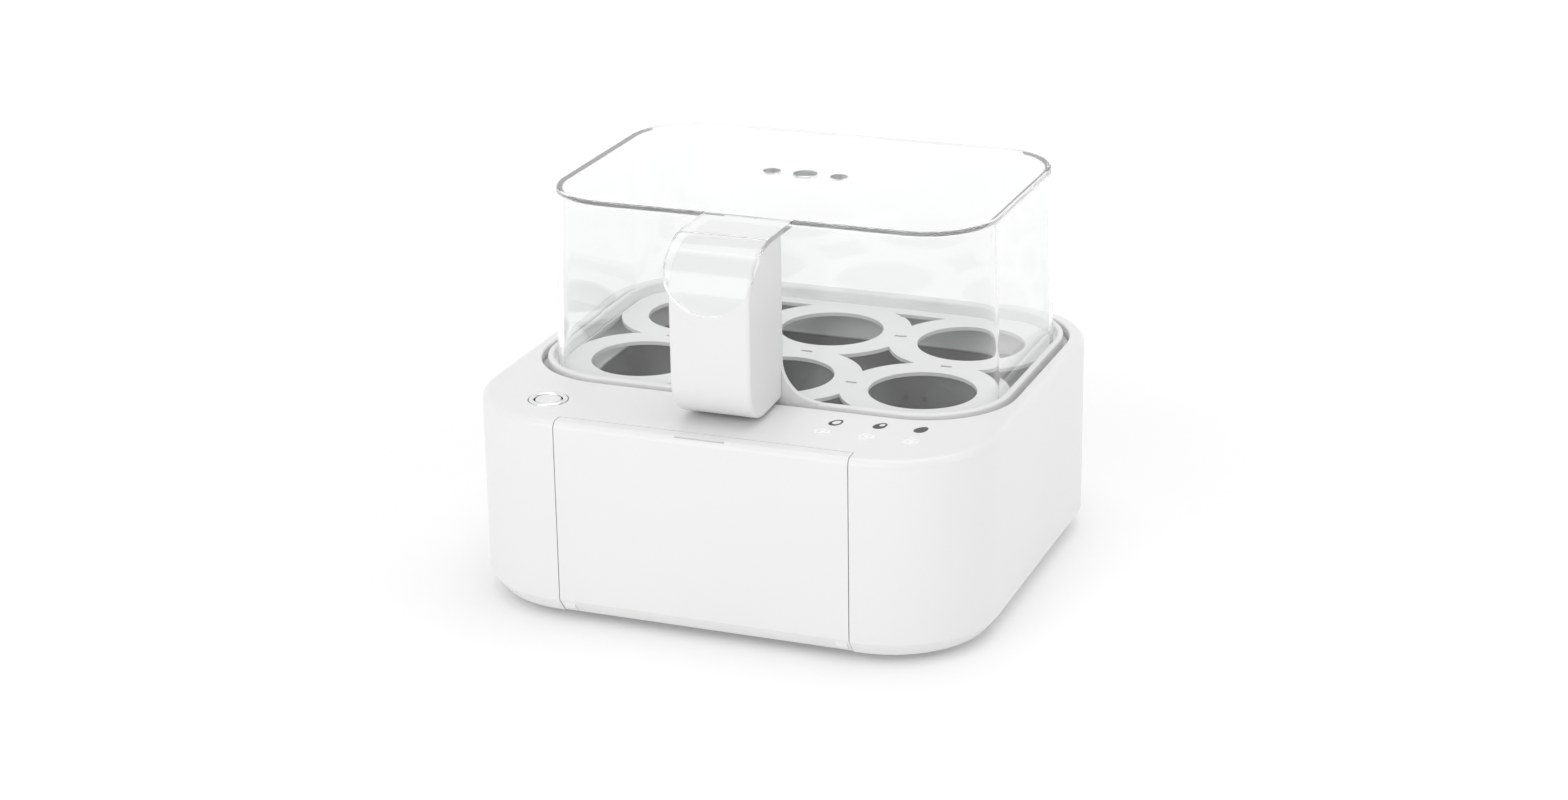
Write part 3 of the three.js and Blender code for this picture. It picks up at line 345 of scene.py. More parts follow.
def finish_of(name, colour, roughness, metal=0, drift=0.96, marks=0.06, grain=(2500, 0.4, 0.4),
              bump=0.06, height=0.00005, plain=None):
    made = bpy.data.materials.new(name)
    made.use_nodes = True
    tree = made.node_tree
    shader = tree.nodes["Principled BSDF"]
    tone = place_group(tree, DRIFT, {"Light": shade(colour, 1), "Dark": shade(colour, drift)})
    worn = place_group(tree, MARKS, {"Roughness": roughness, "Amount": marks})
    cast = place_group(tree, GRAIN, dict(zip(("Grain scale", "Grain", "Ripple"), grain)))
    relief = tree.nodes.new("ShaderNodeBump")
    relief.inputs["Strength"].default_value = bump
    relief.inputs["Distance"].default_value = height
    tree.links.new(cast.outputs["Height"], relief.inputs["Height"])
    tree.links.new(tone.outputs["Colour"], shader.inputs["Base Color"])
    tree.links.new(worn.outputs["Roughness"], shader.inputs["Roughness"])
    tree.links.new(relief.outputs["Normal"], shader.inputs["Normal"])
    shader.inputs["Metallic"].default_value = metal
    for label, value in (plain or {}).items():
        shader.inputs[label].default_value = value
    return made


# %% Mix the plain finishes
shell_white = finish_of(
    "Shell white", (0.83, 0.83, 0.826), 0.32, drift=0.985, marks=0.03, grain=(2500, 0.15, 0.4),
    bump=0.05, plain={"Coat Weight": 0.12, "Coat Roughness": 0.15},
)
tray_white = finish_of("Tray white", (0.815, 0.815, 0.813), 0.4, drift=0.98, marks=0.03, bump=0.05)
chrome = finish_of("Chrome", (0.72, 0.73, 0.74), 0.12, metal=1, marks=0.05, bump=0.02)
steel = finish_of("Steel", (0.52, 0.53, 0.54), 0.34, metal=1, drift=0.85, marks=0.12)
aluminium = finish_of("Aluminium", (0.6, 0.61, 0.62), 0.42, metal=1, drift=0.88, marks=0.12)
rubber = finish_of("Rubber", (0.2, 0.205, 0.21), 0.8, drift=0.8, grain=(1500, 1, 0.2), bump=0.4)
silicone = finish_of("Silicone", (0.7, 0.705, 0.71), 0.6, drift=0.9)
cover_grey = finish_of(
    "Cover grey", (0.33, 0.335, 0.34), 0.5, drift=0.9, grain=(900, 1, 0.2), bump=0.5
)
black_plastic = finish_of("Black plastic", (0.02, 0.02, 0.022), 0.45, drift=0.7, bump=0.3)
ceramic = finish_of("Ceramic", (0.75, 0.71, 0.63), 0.7, drift=0.85, grain=(1200, 1, 0.3), bump=0.5)
ink = finish_of("Printed ink", (0.012, 0.012, 0.013), 0.35, drift=0.6)
print("materials:", len(bpy.data.materials))

# %% [markdown]
# ## Pan finish
# The pan's floor has a dark non-stick coat with fine grain, and its walls are pale. Two pieces
# would need a seam, so one finish changes its colour at a height instead. The change is half a
# millimetre wide, as where a sprayed coat ends.


# %% Mix the two-tone pan finish
PAN_LINE = (0.0551, 0.0556)  # metres above the table
PAN_WALL = (0.88, 0.885, 0.89)


def height_of(tree):
    parts = tree.nodes.new("ShaderNodeSeparateXYZ")
    feed(tree, parts.inputs["Vector"], object_coordinates(tree))
    return parts.outputs["Z"]


def two_tone(finish, pale, line):
    """Mixes in a pale colour above a height line."""
    tree = finish.node_tree
    colour = tree.nodes["Principled BSDF"].inputs["Base Color"]
    below = colour.links[0].from_socket
    above = place_group(tree, DRIFT, {"Light": shade(pale, 1), "Dark": shade(pale, 0.93)})
    share = span(tree, height_of(tree), *line)
    feed(tree, colour, mixed(tree, share, below, above.outputs["Colour"]))
    return finish


pan_coat = finish_of(
    "Pan coating", (0.02, 0.021, 0.023), 0.45, drift=0.75, marks=0.1, grain=(2200, 0.6, 0.3),
    bump=0.12,
)
two_tone(pan_coat, PAN_WALL, PAN_LINE)
print("pan colour changes at", PAN_LINE, "m")

# %% [markdown]
# ## Clear plastic
# The lid is real clear plastic: light bends in its walls and a glossy coat mirrors the room,
# so its edges show as thin grey and white lines. A ray that asks for shadow, or that a matt
# surface sends out, would be stopped or counted twice, so for those rays the material is simply
# transparent. The edges round the top and the steam holes are satin, because a perfectly clear
# round edge traps light and looks black.


# %% Mix the clear plastic
LID_EDGE_BAND = (0.1278, 0.1284)
SATIN = 0.3


def rougher_edges(tree, shader):
    """Adds roughness near the lid's top where the surface doesn't face straight up."""
    facing = tree.nodes.new("ShaderNodeTexCoord")
    tilt = tree.nodes.new("ShaderNodeSeparateXYZ")
    feed(tree, tilt.inputs["Vector"], facing.outputs["Normal"])
    high = span(tree, height_of(tree), *LID_EDGE_BAND)
    tilted = span(tree, tilt.outputs["Z"], 0.7, 0.92, 1, 0)
    satin = arithmetic(tree, "MULTIPLY", arithmetic(tree, "MULTIPLY", high, tilted), SATIN)
    smooth = shader.inputs["Roughness"].links[0].from_socket
    feed(tree, shader.inputs["Roughness"], arithmetic(tree, "ADD", smooth, satin))


def clear_plastic():
    made = finish_of(
        "Clear plastic", (0.96, 0.965, 0.965), 0.015, drift=0.998, marks=0.012,
        grain=(400, 0.05, 1), bump=0.05, height=0.0001,
        plain={"Transmission Weight": 0.98, "IOR": 1.25,
               "Coat Weight": 1, "Coat Roughness": 0.02, "Coat IOR": 1.36},
    )
    tree = made.node_tree
    shader = tree.nodes["Principled BSDF"]
    rougher_edges(tree, shader)
    through = tree.nodes.new("ShaderNodeBsdfTransparent")
    through.inputs["Color"].default_value = (0.98, 0.985, 0.985, 1)
    ray = tree.nodes.new("ShaderNodeLightPath")
    passing = arithmetic(tree, "MAXIMUM", ray.outputs["Is Shadow Ray"], ray.outputs["Is Diffuse Ray"])
    either = tree.nodes.new("ShaderNodeMixShader")
    feed(tree, either.inputs["Fac"], passing)
    feed(tree, either.inputs[1], shader.outputs["BSDF"])
    feed(tree, either.inputs[2], through.outputs["BSDF"])
    feed(tree, tree.nodes["Material Output"].inputs["Surface"], either.outputs["Shader"])
    return made


clear = clear_plastic()
print("clear plastic:", clear.name, "with satin edges above", LID_EDGE_BAND[0], "m")

# %% [markdown]
# ## Lenses and circuit boards
# The lights' lenses are milky, with a thin gloss. The boards get copper tracks: a Brick texture
# looks like rows of tracks under green varnish, and needs no image.


# %% Mix the lens and board finishes
def board_material():
    made = finish_of("Circuit board", (0.03, 0.16, 0.07), 0.35, drift=0.8, marks=0.08)
    tree = made.node_tree
    tracks = tree.nodes.new("ShaderNodeTexBrick")
    values = {
        "Vector": object_coordinates(tree), "Scale": 160, "Mortar Size": 0.012,
        "Color1": (0.02, 0.12, 0.05, 1), "Color2": (0.03, 0.16, 0.07, 1), "Mortar": (0.12, 0.3, 0.12, 1),
    }
    for label, value in values.items():
        feed(tree, tracks.inputs[label], value)
    feed(tree, tree.nodes["Principled BSDF"].inputs["Base Color"], tracks.outputs["Color"])
    return made


lens = finish_of("Milky lens", (0.9, 0.9, 0.896), 0.2, drift=0.98, marks=0.03, bump=0.02,
                 plain={"Coat Weight": 0.3, "Coat Roughness": 0.1})
board_green = board_material()
print("lens and board:", lens.name, board_green.name)

# %% [markdown]
# ## Building tools
# Most of this object is a rounded rectangle that changes size as it rises. So the main tool is
# a stack of loops: each loop is a rounded rectangle at some height, and neighbouring loops are
# joined by a band of faces. Curved edges are more loops placed on a quarter circle. Sizes are
# in millimetres until a piece is finished, which keeps the numbers easy to read.

# %% Sections, loops and stacks
CORNER_STEPS = 14


def inset(section, by):
    """A section smaller by the same amount all round. A negative amount makes it larger."""
    width, depth, radius = section
    return (width - 2 * by, depth - 2 * by, max(radius - by, 0.4))


def loop(section, z, y=0.0):
    width, depth, radius = section
    points = []
    for corner, (sx, sy) in enumerate(((1, 1), (-1, 1), (-1, -1), (1, -1))):
        for step in range(CORNER_STEPS + 1):
            turn = (corner + step / CORNER_STEPS) * math.pi / 2
            points.append((
                sx * (width / 2 - radius) + radius * math.cos(turn),
                y + sy * (depth / 2 - radius) + radius * math.sin(turn),
                z,
            ))
    return points


def quarter(steps):
    """Sine and cosine pairs from 0 to 90 degrees."""
    turns = [math.pi / 2 * i / steps for i in range(steps + 1)]
    return [(math.sin(t), math.cos(t)) for t in turns]


def stacked(loops, closed=False):
    """Joins loops into a solid. A closed stack joins its last loop to its first, as in a ring."""
    bm = bmesh.new()
    rings = [[bm.verts.new(p) for p in points] for points in loops]
    pairs = list(zip(rings, rings[1:]))
    if closed:
        pairs.append((rings[-1], rings[0]))
    for low, high in pairs:
        for i in range(len(low)):
            j = (i + 1) % len(low)
            bm.faces.new((low[i], low[j], high[j], high[i]))
    if not closed:
        bm.faces.new(rings[0][::-1])
        bm.faces.new(rings[-1])
    bmesh.ops.recalc_face_normals(bm, faces=bm.faces)
    return bm


print("a loop has", len(loop((10, 10, 2), 0)), "points")

# %% [markdown]
# ## Turned and extruded solids
# Round parts are turned: a profile is spun round an axis, as on a lathe. Parts with one constant
# outline are extruded along an axis. Both are written out in mesh code, so that they come out
# closed and ready for cutting, with no modifier to apply first.


# %% Lathe, extrusion, block and drum
def turned(profile, place=(0, 0, 0), axis="Z", sides=48):
    """Spins a profile of (radius, height) points round an axis through `place`."""
    bm = bmesh.new()
    rings = []
    for radius, height in profile:
        if radius == 0:
            rings.append([bm.verts.new((0, 0, height))])
            continue
        turns = [2 * math.pi * i / sides for i in range(sides)]
        circle = [(radius * math.cos(t), radius * math.sin(t), height) for t in turns]
        rings.append([bm.verts.new(point) for point in circle])
    closed = profile[0][0] != 0
    for low, high in zip(rings, rings[1:] + rings[:1] if closed else rings[1:]):
        for i in range(sides):
            j = (i + 1) % sides
            below = (low[i % len(low)], low[j % len(low)])
            above = (high[j % len(high)], high[i % len(high)])
            bm.faces.new(list(dict.fromkeys(below + above)))
    bmesh.ops.recalc_face_normals(bm, faces=bm.faces)
    aim = {
        "X": Matrix.Rotation(math.pi / 2, 4, "Y"),
        "Y": Matrix.Rotation(-math.pi / 2, 4, "X"),
        "Z": Matrix(),
    }
    bmesh.ops.transform(bm, matrix=Matrix.Translation(place) @ aim[axis], verts=bm.verts)
    return bm


def prism(outline, axis, low, high):
    """Extrudes a flat outline along an axis. The outline gives the other two axes in order."""
    order = {"X": (2, 0, 1), "Y": (0, 2, 1), "Z": (0, 1, 2)}[axis]
    bm = bmesh.new()
    ends = []
    for along in (low, high):
        points = [(a, b, along) for a, b in outline]
        ends.append([bm.verts.new([p[order[k]] for k in range(3)]) for p in points])
    for i in range(len(outline)):
        j = (i + 1) % len(outline)
        bm.faces.new((ends[0][i], ends[0][j], ends[1][j], ends[1][i]))
    bm.faces.new(ends[0][::-1])
    bm.faces.new(ends[1])
    bmesh.ops.recalc_face_normals(bm, faces=bm.faces)
    return bm


def block(x, y, z):
    outline = [(x[0], y[0]), (x[1], y[0]), (x[1], y[1]), (x[0], y[1])]
    return prism(outline, "Z", *z)


def drum(radius, z, place, sides=48):
    circle = [
        (place[0] + radius * math.cos(2 * math.pi * i / sides),
         place[1] + radius * math.sin(2 * math.pi * i / sides))
        for i in range(sides)
    ]
    return prism(circle, "Z", *z)


print("a small block has", len(block((0, 1), (0, 1), (0, 1)).faces), "faces")

# %% [markdown]
# ## Cutting, softening and finishing
# Holes and joins are Boolean modifiers, which work on whole solids. A fresh cut has knife-sharp
# edges, and no moulded edge is that sharp, so a narrow Bevel follows: it catches the light as a
# thin line. The modifiers are applied at once, which keeps each piece one plain mesh. A
# Weighted Normal modifier stays, so that large flat faces look flat next to round corners.


# %% Cut, join and soften
def loose_object(bm):
    mesh = bpy.data.meshes.new("tool")
    bm.to_mesh(mesh)
    bm.free()
    made = bpy.data.objects.new("tool", mesh)
    bpy.context.collection.objects.link(made)
    return made


def applied(made):
    """Turns an object's modifiers into plain mesh."""
    ready = made.evaluated_get(bpy.context.evaluated_depsgraph_get())
    mesh = bpy.data.meshes.new_from_object(ready)
    old = made.data
    made.modifiers.clear()
    made.data = mesh
    bpy.data.meshes.remove(old)
    return made


def combined(made, others, operation):
    for other in others:
        tool = loose_object(other)
        change = made.modifiers.new("Cut", "BOOLEAN")
        change.operation, change.solver, change.object = operation, "MANIFOLD", tool
        applied(made)
        bpy.data.objects.remove(tool)
    return made


def cut(made, *others):
    return combined(made, others, "DIFFERENCE")


def joined(made, *others):
    return combined(made, others, "UNION")


def softened(made, width, segments=2, angle=30):
    edge = made.modifiers.new("Soft edges", "BEVEL")
    edge.width, edge.segments, edge.limit_method = width, segments, "ANGLE"
    edge.angle_limit = math.radians(angle)
    edge.use_clamp_overlap = True
    return applied(made)


print("cutting tools ready")


# %% Finish a piece
SHARP_ANGLE = 40


def piece(made, name, material, body, stands_for=()):
    """Scales a finished solid to metres, gives it its finish and hangs it on its body."""
    made.name = made.data.name = name
    made.data.transform(Matrix.Scale(MM, 4))
    made.data.materials.clear()
    made.data.materials.append(material)
    made.data.shade_smooth()
    made.data.set_sharp_from_angle(angle=math.radians(SHARP_ANGLE))
    weighted = made.modifiers.new("Flat faces stay flat", "WEIGHTED_NORMAL")
    weighted.keep_sharp = True
    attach(made, body)
    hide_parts(*stands_for)
    print(f"{name}: {len(made.data.polygons)} faces")


# %% [markdown]
# ## Shared sizes
# These come from the loaded solids, so a piece always fits the frame. Each section is a width,
# a depth and a corner radius.


# %% Read the sizes
def extent(node):
    low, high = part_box(node)
    return low / MM, high / MM


def centre_of(node):
    return tuple(sum(axis) / 2 for axis in zip(*extent(node)))


body_low, body_high = extent("base_shell")
tray_low, tray_high = extent("egg_tray")
lid_low, lid_high = extent("lid")
TRAY = (tray_high.x - tray_low.x, 115.0, 28.8)
PAN_Y = tray_high.y - TRAY[1] / 2
TRAY_TO_DECK = 2
RIM_STRIP = 5.2
OPENING = inset(TRAY, -TRAY_TO_DECK)
BODY = (body_high.x - body_low.x, body_high.y - body_low.y, OPENING[2] + RIM_STRIP)
FRONT = body_low.y
FOOT, DECK = body_low.z, body_high.z
WALL = 2.5
LID_TOP = lid_high.z
print("body", [round(v, 1) for v in BODY])
print("pan centre", round(PAN_Y, 2), "lid top", round(LID_TOP, 1))

# %% [markdown]
# ## Base shell
# One moulding makes the walls and the deck. Its stack runs from the bevelled foot up the wall,
# over the rounded edge, across the deck to the pan's opening, and back down the inside. The
# last loop joins the first, so the wall has a real thickness. A stack of loops was chosen over a
# bevelled box, because it gives each edge its own radius with no clean-up.

# %% Stack the shell
EDGE = 2.5
MOUTH = 0.8
BEVEL_IN, BEVEL_UP = 4, 5


def shell_solid():
    loops = [loop(inset(BODY, BEVEL_IN), FOOT), loop(BODY, FOOT + BEVEL_UP)]
    loops += [loop(inset(BODY, EDGE * (1 - c)), DECK - EDGE * (1 - s)) for s, c in quarter(7)]
    loops += [
        loop(inset(OPENING, -MOUTH * (1 - c)), DECK - MOUTH * (1 - s), PAN_Y)
        for s, c in reversed(quarter(4))
    ]
    loops += [loop(OPENING, DECK - WALL, PAN_Y), loop(inset(BODY, WALL), DECK - WALL)]
    loops += [loop(inset(BODY, WALL), FOOT + BEVEL_UP), loop(inset(BODY, BEVEL_IN + WALL), FOOT)]
    return loose_object(stacked(loops, closed=True))


shell = shell_solid()
print("shell stacked:", len(shell.data.polygons), "faces")

# %% [markdown]
# ## Doorway
# Each side of the doorway has three ribs inside the wall: a lug for the hinge pin, a cheek that
# forms the side of the bay, and a brow that fills in above it. A strip over the bay's mouth
# hides the control board when the door is open. They are drawn from the side, extruded and
# joined on. The opening and the round holes are cut last, so that they cut the ribs as well.

# %% Join the ribs beside the doorway
DOOR_HALF = 50
DOOR_GAP = 0.3
DOOR_LIP = 5.4
RIB_FRONT = FRONT + 1.2  # set back from the wall's face
LUG = (FRONT + 4.3, FRONT + 8.2)
LUG_NOSE, LUG_TOP = FOOT + 4.5, FOOT + 7.8
CHEEK_BACK = FRONT + 40
CHEEK_UNDER, CHEEK_TOP = FOOT + 6, DECK - 9.3
BROW_BACK = FRONT + 11.2
BROW_UNDER, BROW_TOP = DECK - 10, DECK - 2
HEADER_UNDER = 58.8
OVERLAP = 1  # how far a joined or cutting block reaches past a face


def rectangle(x, y):
    return [(x[0], y[0]), (x[1], y[0]), (x[1], y[1]), (x[0], y[1])]


doorway = (-DOOR_HALF - DOOR_GAP, DOOR_HALF + DOOR_GAP)
for edge, side in zip(doorway, (-1, 1)):
    across = sorted((edge, edge + side * WALL))
    lug = [
        (LUG[0], FOOT), (LUG[1], FOOT), (LUG[1], LUG_TOP), (RIB_FRONT, LUG_TOP),
        (RIB_FRONT, LUG_NOSE),
    ]
    cheek = rectangle((RIB_FRONT, CHEEK_BACK), (CHEEK_UNDER, CHEEK_TOP))
    brow = rectangle((RIB_FRONT, BROW_BACK), (BROW_UNDER, BROW_TOP))
    joined(shell, *(prism(outline, "X", *across) for outline in (lug, cheek, brow)))
header_across = (doorway[0] - OVERLAP, doorway[1] + OVERLAP)
header_along = (FRONT + 9.3, BROW_BACK)
joined(shell, block(header_across, header_along, (HEADER_UNDER, DECK - WALL + 0.5)))
print("doorway from", round(doorway[0], 1), "to", round(doorway[1], 1))

# %% Cut the doorway, the control holes and the cable outlet
BUTTON_AT = centre_of("push_button")[:2]
LIGHTS = {name: centre_of(f"light_pipe_{name}")[:2] for name in ("soft", "medium", "hard")}
RING_SEAT, RING_HOLE, LIGHT_HOLE = 6.8, 6.0, 2.95
OUTLET_HOLES = ((7.3, 1), (5.3, 5))  # radius, depth: the flange's seat, then the neck
GLAND = centre_of("cord_gland")
OUTLET = (GLAND[0], body_high.y, GLAND[2])
DOOR_SWING = FRONT + 9.2  # room for the door's ribs, below the deck

cut(
    shell,
    block(doorway, (FRONT - 2, FRONT + DOOR_LIP + DOOR_GAP), (0, DECK + 2)),
    block(doorway, (FRONT - 2, DOOR_SWING), (0, DECK - WALL - 1)),
    drum(RING_SEAT, (DECK - 1, DECK + OVERLAP), BUTTON_AT),
    drum(RING_HOLE, (DECK - 4, DECK), BUTTON_AT),
    *(drum(LIGHT_HOLE, (DECK - 4, DECK + OVERLAP), place, 40) for place in LIGHTS.values()),
    *(turned([(0, -depth), (radius, -depth), (radius, 1), (0, 1)], OUTLET, "Y")
      for radius, depth in OUTLET_HOLES),
)
softened(shell, 0.2)
piece(shell, "Base_shell", shell_white, "base", ["base_shell"])

# %% [markdown]
# ## Front door
# The door is a bent sheet with the same bevelled foot and rounded top edge as the wall beside
# it, so it is drawn as a side outline and extruded across. Two ribs carry its hinge ears, and a
# shallow notch in the top edge takes a fingernail.


# %% Draw and extrude the door
def arc(centre, radius, start, end, steps):
    """Points on a circle, from one angle to another in degrees."""
    turns = [math.radians(start + (end - start) * i / steps) for i in range(steps + 1)]
    return [(centre[0] + radius * math.cos(t), centre[1] + radius * math.sin(t)) for t in turns]


HINGE = (FRONT + 5, FOOT + 3.6)
BACK = FRONT + WALL
door_outline = [
    (FRONT + 4, FOOT + 0.3), (FRONT + 6.5, FOOT + 0.3), (BACK, FOOT + 6.3), (BACK, DECK - WALL),
    (FRONT + DOOR_LIP, DECK - WALL), (FRONT + DOOR_LIP, DECK),
    *arc((FRONT + EDGE, DECK - EDGE), EDGE, 90, 180, 7), (FRONT, FOOT + 5.3),
]
door = loose_object(prism(door_outline, "X", -DOOR_HALF, DOOR_HALF))
print("door sheet:", len(door.data.polygons), "faces")

# %% Add the hinge ears and cut the notch
EAR = (45.2, 49)
EAR_RADIUS = 3.2
BORE_RADIUS = 1.65
NOTCH_HALF, NOTCH_CORNER, NOTCH_DEPTH = 8.5, 0.6, 0.8


def round_outline(radius):
    return arc(HINGE, radius, 0, 345, 23)


for side in (-1, 1):
    across = sorted(side * x for x in EAR)
    rib = rectangle((BACK - 1, BACK + 2), (HINGE[1], DECK - 6))
    neck = rectangle((BACK - 1.4, HINGE[0]), (HINGE[1] - 0.8, HINGE[1] + EAR_RADIUS))
    joined(door, *(prism(outline, "X", *across) for outline in (rib, neck, round_outline(EAR_RADIUS))))
notch_floor = DECK - NOTCH_CORNER
notch_centre = NOTCH_HALF - NOTCH_CORNER
notch = [
    (-NOTCH_HALF, DECK + OVERLAP), (-NOTCH_HALF, notch_floor),
    *arc((-notch_centre, notch_floor), NOTCH_CORNER, 180, 270, 4),
    *arc((notch_centre, notch_floor), NOTCH_CORNER, 270, 360, 4), (NOTCH_HALF, DECK + OVERLAP),
]
cut(
    door,
    prism(notch, "Y", FRONT + 1, FRONT + 1 + NOTCH_DEPTH),
    prism(round_outline(BORE_RADIUS), "X", -60, 60),
)
softened(door, 0.2)
piece(door, "Front_door", shell_white, "door", ["door_panel"])

# %% [markdown]
# ## Push button and lights
# Small round parts are turned, like work on a lathe: a profile is spun round an axis. The
# button's cap is slightly dished so that a finger finds it, and the bright ring round it is
# half-round on top. Each light is a milky pipe whose low dome stands just proud of the deck.

# %% Turn the button and its ring
cap_under, cap_top = DECK - WALL + 0.5, DECK + 0.2
button = turned(
    [(0, cap_under - 1.6), (2, cap_under - 1.6), (2, cap_under), (4.3, cap_under)]
    + [(4.3 - 0.5 * (1 - c), cap_top - 0.5 * (1 - s)) for s, c in quarter(4)]
    + [(r, cap_top - 0.35 * (1 - (r / 3.8) ** 2)) for r in (3, 2, 1, 0)],
    (*BUTTON_AT, 0),
)
piece(loose_object(button), "Push_button", shell_white, "button", ["push_button"])

ring = turned(
    [(4.7, DECK - WALL), (5.7, DECK - WALL), (5.7, DECK - 0.7), (6.5, DECK - 0.7)]
    + [(5.6 + 0.9 * c, DECK - 0.2 + 0.7 * s) for s, c in quarter(5)]
    + [(5.6 - 0.9 * s, DECK - 0.2 + 0.7 * c) for s, c in quarter(5)[1:]],
    (*BUTTON_AT, 0), sides=64,
)
piece(loose_object(ring), "Button_ring", chrome, "base", ["button_ring"])

# %% Turn the lights
PIPE_RADIUS = 2.92
PIPE_FOOT = extent("control_board")[1].z + 2.2  # clear of the lamp on the board
DISH = ((PIPE_RADIUS, 0.02), (2.6, 0.05), (2.2, 0.13), (1.8, 0.16), (1.5, 0.1))  # radius, depth

for level, place in LIGHTS.items():
    dish = [(radius, DECK - depth) for radius, depth in DISH]
    dome = [(1.4 * c, DECK - 0.05 + 0.45 * s) for s, c in quarter(6)]
    profile = [(0, PIPE_FOOT), (PIPE_RADIUS, PIPE_FOOT), *dish, *dome]
    pipe = turned(profile, (*place, 0), sides=40)
    piece(loose_object(pipe), f"Light_{level}", lens, "base", [f"light_pipe_{level}"])

# %% [markdown]
# ## Printed egg signs
# Behind each light an egg is printed: an outline for soft, a part-filled egg for medium and a
# full one for hard. Print has almost no thickness, so each sign is a flat outline raised by a
# few hundredths of a millimetre, which keeps it free of flicker against the deck.

# %% Print the egg signs
EGG_LENGTH, EGG_WIDTH, EGG_TILT = 5.9, 3.9, math.radians(-20)
SIGN_PLACES = {"soft": (35.9, -52.8), "medium": (50.2, -51.1), "hard": (63.6, -50.3)}
SIGN_WINDOWS = {"soft": (0.12, 0.25, 0.62), "medium": (0.4, 0.9, 0.42)}


def egg_outline(place, scale=1.0, steps=40):
    points = []
    for i in range(steps):
        turn = 2 * math.pi * i / steps
        along = math.sin(turn) * EGG_LENGTH / 2 * scale
        across = math.cos(turn) * EGG_WIDTH / 2 * scale * (1 - 0.16 * math.sin(turn))
        points.append((
            place[0] + across * math.cos(EGG_TILT) - along * math.sin(EGG_TILT),
            place[1] + across * math.sin(EGG_TILT) + along * math.cos(EGG_TILT),
        ))
    return points


def egg_sign(place, window):
    """An egg of ink. Its window, if it has one, is a smaller egg: a shift and a scale."""
    sign = loose_object(prism(egg_outline(place), "Z", DECK - 0.02, DECK + 0.04))
    if window:
        right_by, back_by, scale = window
        inner = egg_outline((place[0] + right_by, place[1] + back_by), scale)
        cut(sign, prism(inner, "Z", DECK - 1, DECK + 1))
    return sign


for level, place in SIGN_PLACES.items():
    piece(egg_sign(place, SIGN_WINDOWS.get(level)), f"Sign_{level}", ink, "base")

# %% [markdown]
# ## Water pan
# The pan is thin pressed metal, pale on its walls with a dark non-stick coat on its floor. It is
# one stack again: up the outside, round the flange, down the inside and across the floor. The
# curve between wall and floor is what the light picks out through the egg holes.

# %% Stack the pan
FLANGE_TOP = extent("water_pan")[1].z
PAN_DEPTH, PAN_SHEET, PAN_DRAFT = 11, 1, 3
PAN_FLOOR = FLANGE_TOP - PAN_DEPTH
BASIN = inset(TRAY, 2.3)
PAN_BASE = inset(BASIN, PAN_DRAFT)
FLANGE = inset(OPENING, -1.7)
FLOOR_CURVE = 2.5


def pan_solid():
    def bowl(offset):
        r = FLOOR_CURVE + offset
        return [
            loop(inset(PAN_BASE, FLOOR_CURVE - r * c), PAN_FLOOR + FLOOR_CURVE - r * s, PAN_Y)
            for s, c in reversed(quarter(6))
        ]

    flange_under = FLANGE_TOP - PAN_SHEET
    outside = bowl(PAN_SHEET) + [loop(inset(BASIN, -PAN_SHEET), flange_under, PAN_Y)]
    flange = [loop(FLANGE, flange_under, PAN_Y), loop(FLANGE, FLANGE_TOP, PAN_Y)]
    inside = [loop(inset(BASIN, -0.2), FLANGE_TOP, PAN_Y), loop(BASIN, FLANGE_TOP - 0.4, PAN_Y)]
    return loose_object(stacked(outside + flange + inside + bowl(0)[::-1]))


piece(pan_solid(), "Water_pan", pan_coat, "base", ["water_pan"])

# %% [markdown]
# ## Egg tray
# The tray is a flat moulding with an upright rim. Six rings overlap into one plate, so it is
# easiest to start from a whole plate and cut away what lies outside the rings, then the egg
# holes and the small slots where rings meet. The handle's strap grows from the front rim with a
# curved root on both sides.

# %% Stack the tray's plate and rim
PITCH = 50
EGGS = [(PITCH * (i % 3 - 1), PAN_Y + PITCH * (i // 3 - 0.5)) for i in range(6)]
PLATE_TOP = DECK - 2.6
PLATE_UNDER = PLATE_TOP - 2.4
PLATE_EDGE = 1.3  # thickness that shows in the holes
LIP_TOP = PLATE_TOP + 3.6
LIP = 2.2
LIP_ROUND, LIP_FILLET = 0.9, 0.6


def tray_solid():
    spigot, r = inset(TRAY, 2.7), LIP_ROUND
    seat = FLANGE_TOP + 0.3
    loops = [loop(spigot, PLATE_UNDER, PAN_Y), loop(spigot, seat, PAN_Y), loop(TRAY, seat, PAN_Y)]
    loops += [loop(inset(TRAY, r * (1 - c)), LIP_TOP - r * (1 - s), PAN_Y) for s, c in quarter(5)]
    loops += [
        loop(inset(TRAY, LIP - r * (1 - c)), LIP_TOP - r * (1 - s), PAN_Y)
        for s, c in reversed(quarter(5))
    ]
    loops += [
        loop(inset(TRAY, LIP + LIP_FILLET * (1 - c)), PLATE_TOP + LIP_FILLET * (1 - s), PAN_Y)
        for s, c in quarter(3)
    ]
    return loose_object(stacked(loops))


def slab(section, low, high):
    return stacked([loop(section, low, PAN_Y), loop(section, high, PAN_Y)])


tray = tray_solid()
cut(tray, slab(inset(TRAY, 4.5), PLATE_UNDER - 1, PLATE_TOP - PLATE_EDGE))
print("tray plate:", len(tray.data.polygons), "faces")

# %% Cut the gaps between the rings, the egg holes and the slots
BORDER = (TRAY[0] - 9.6, TRAY[1] - 19, TRAY[2] - 4.8)
RING_RADIUS, EGG_HOLE_RADIUS = 27.5, 18
SLOT_HALF = (2, 0.7)


def ring_gaps():
    gaps = loose_object(slab(BORDER, PLATE_UNDER - 1, PLATE_TOP + 2))
    rings = (drum(RING_RADIUS, (PLATE_UNDER - 2, PLATE_TOP + 3), egg, 96) for egg in EGGS)
    return cut(gaps, *rings)


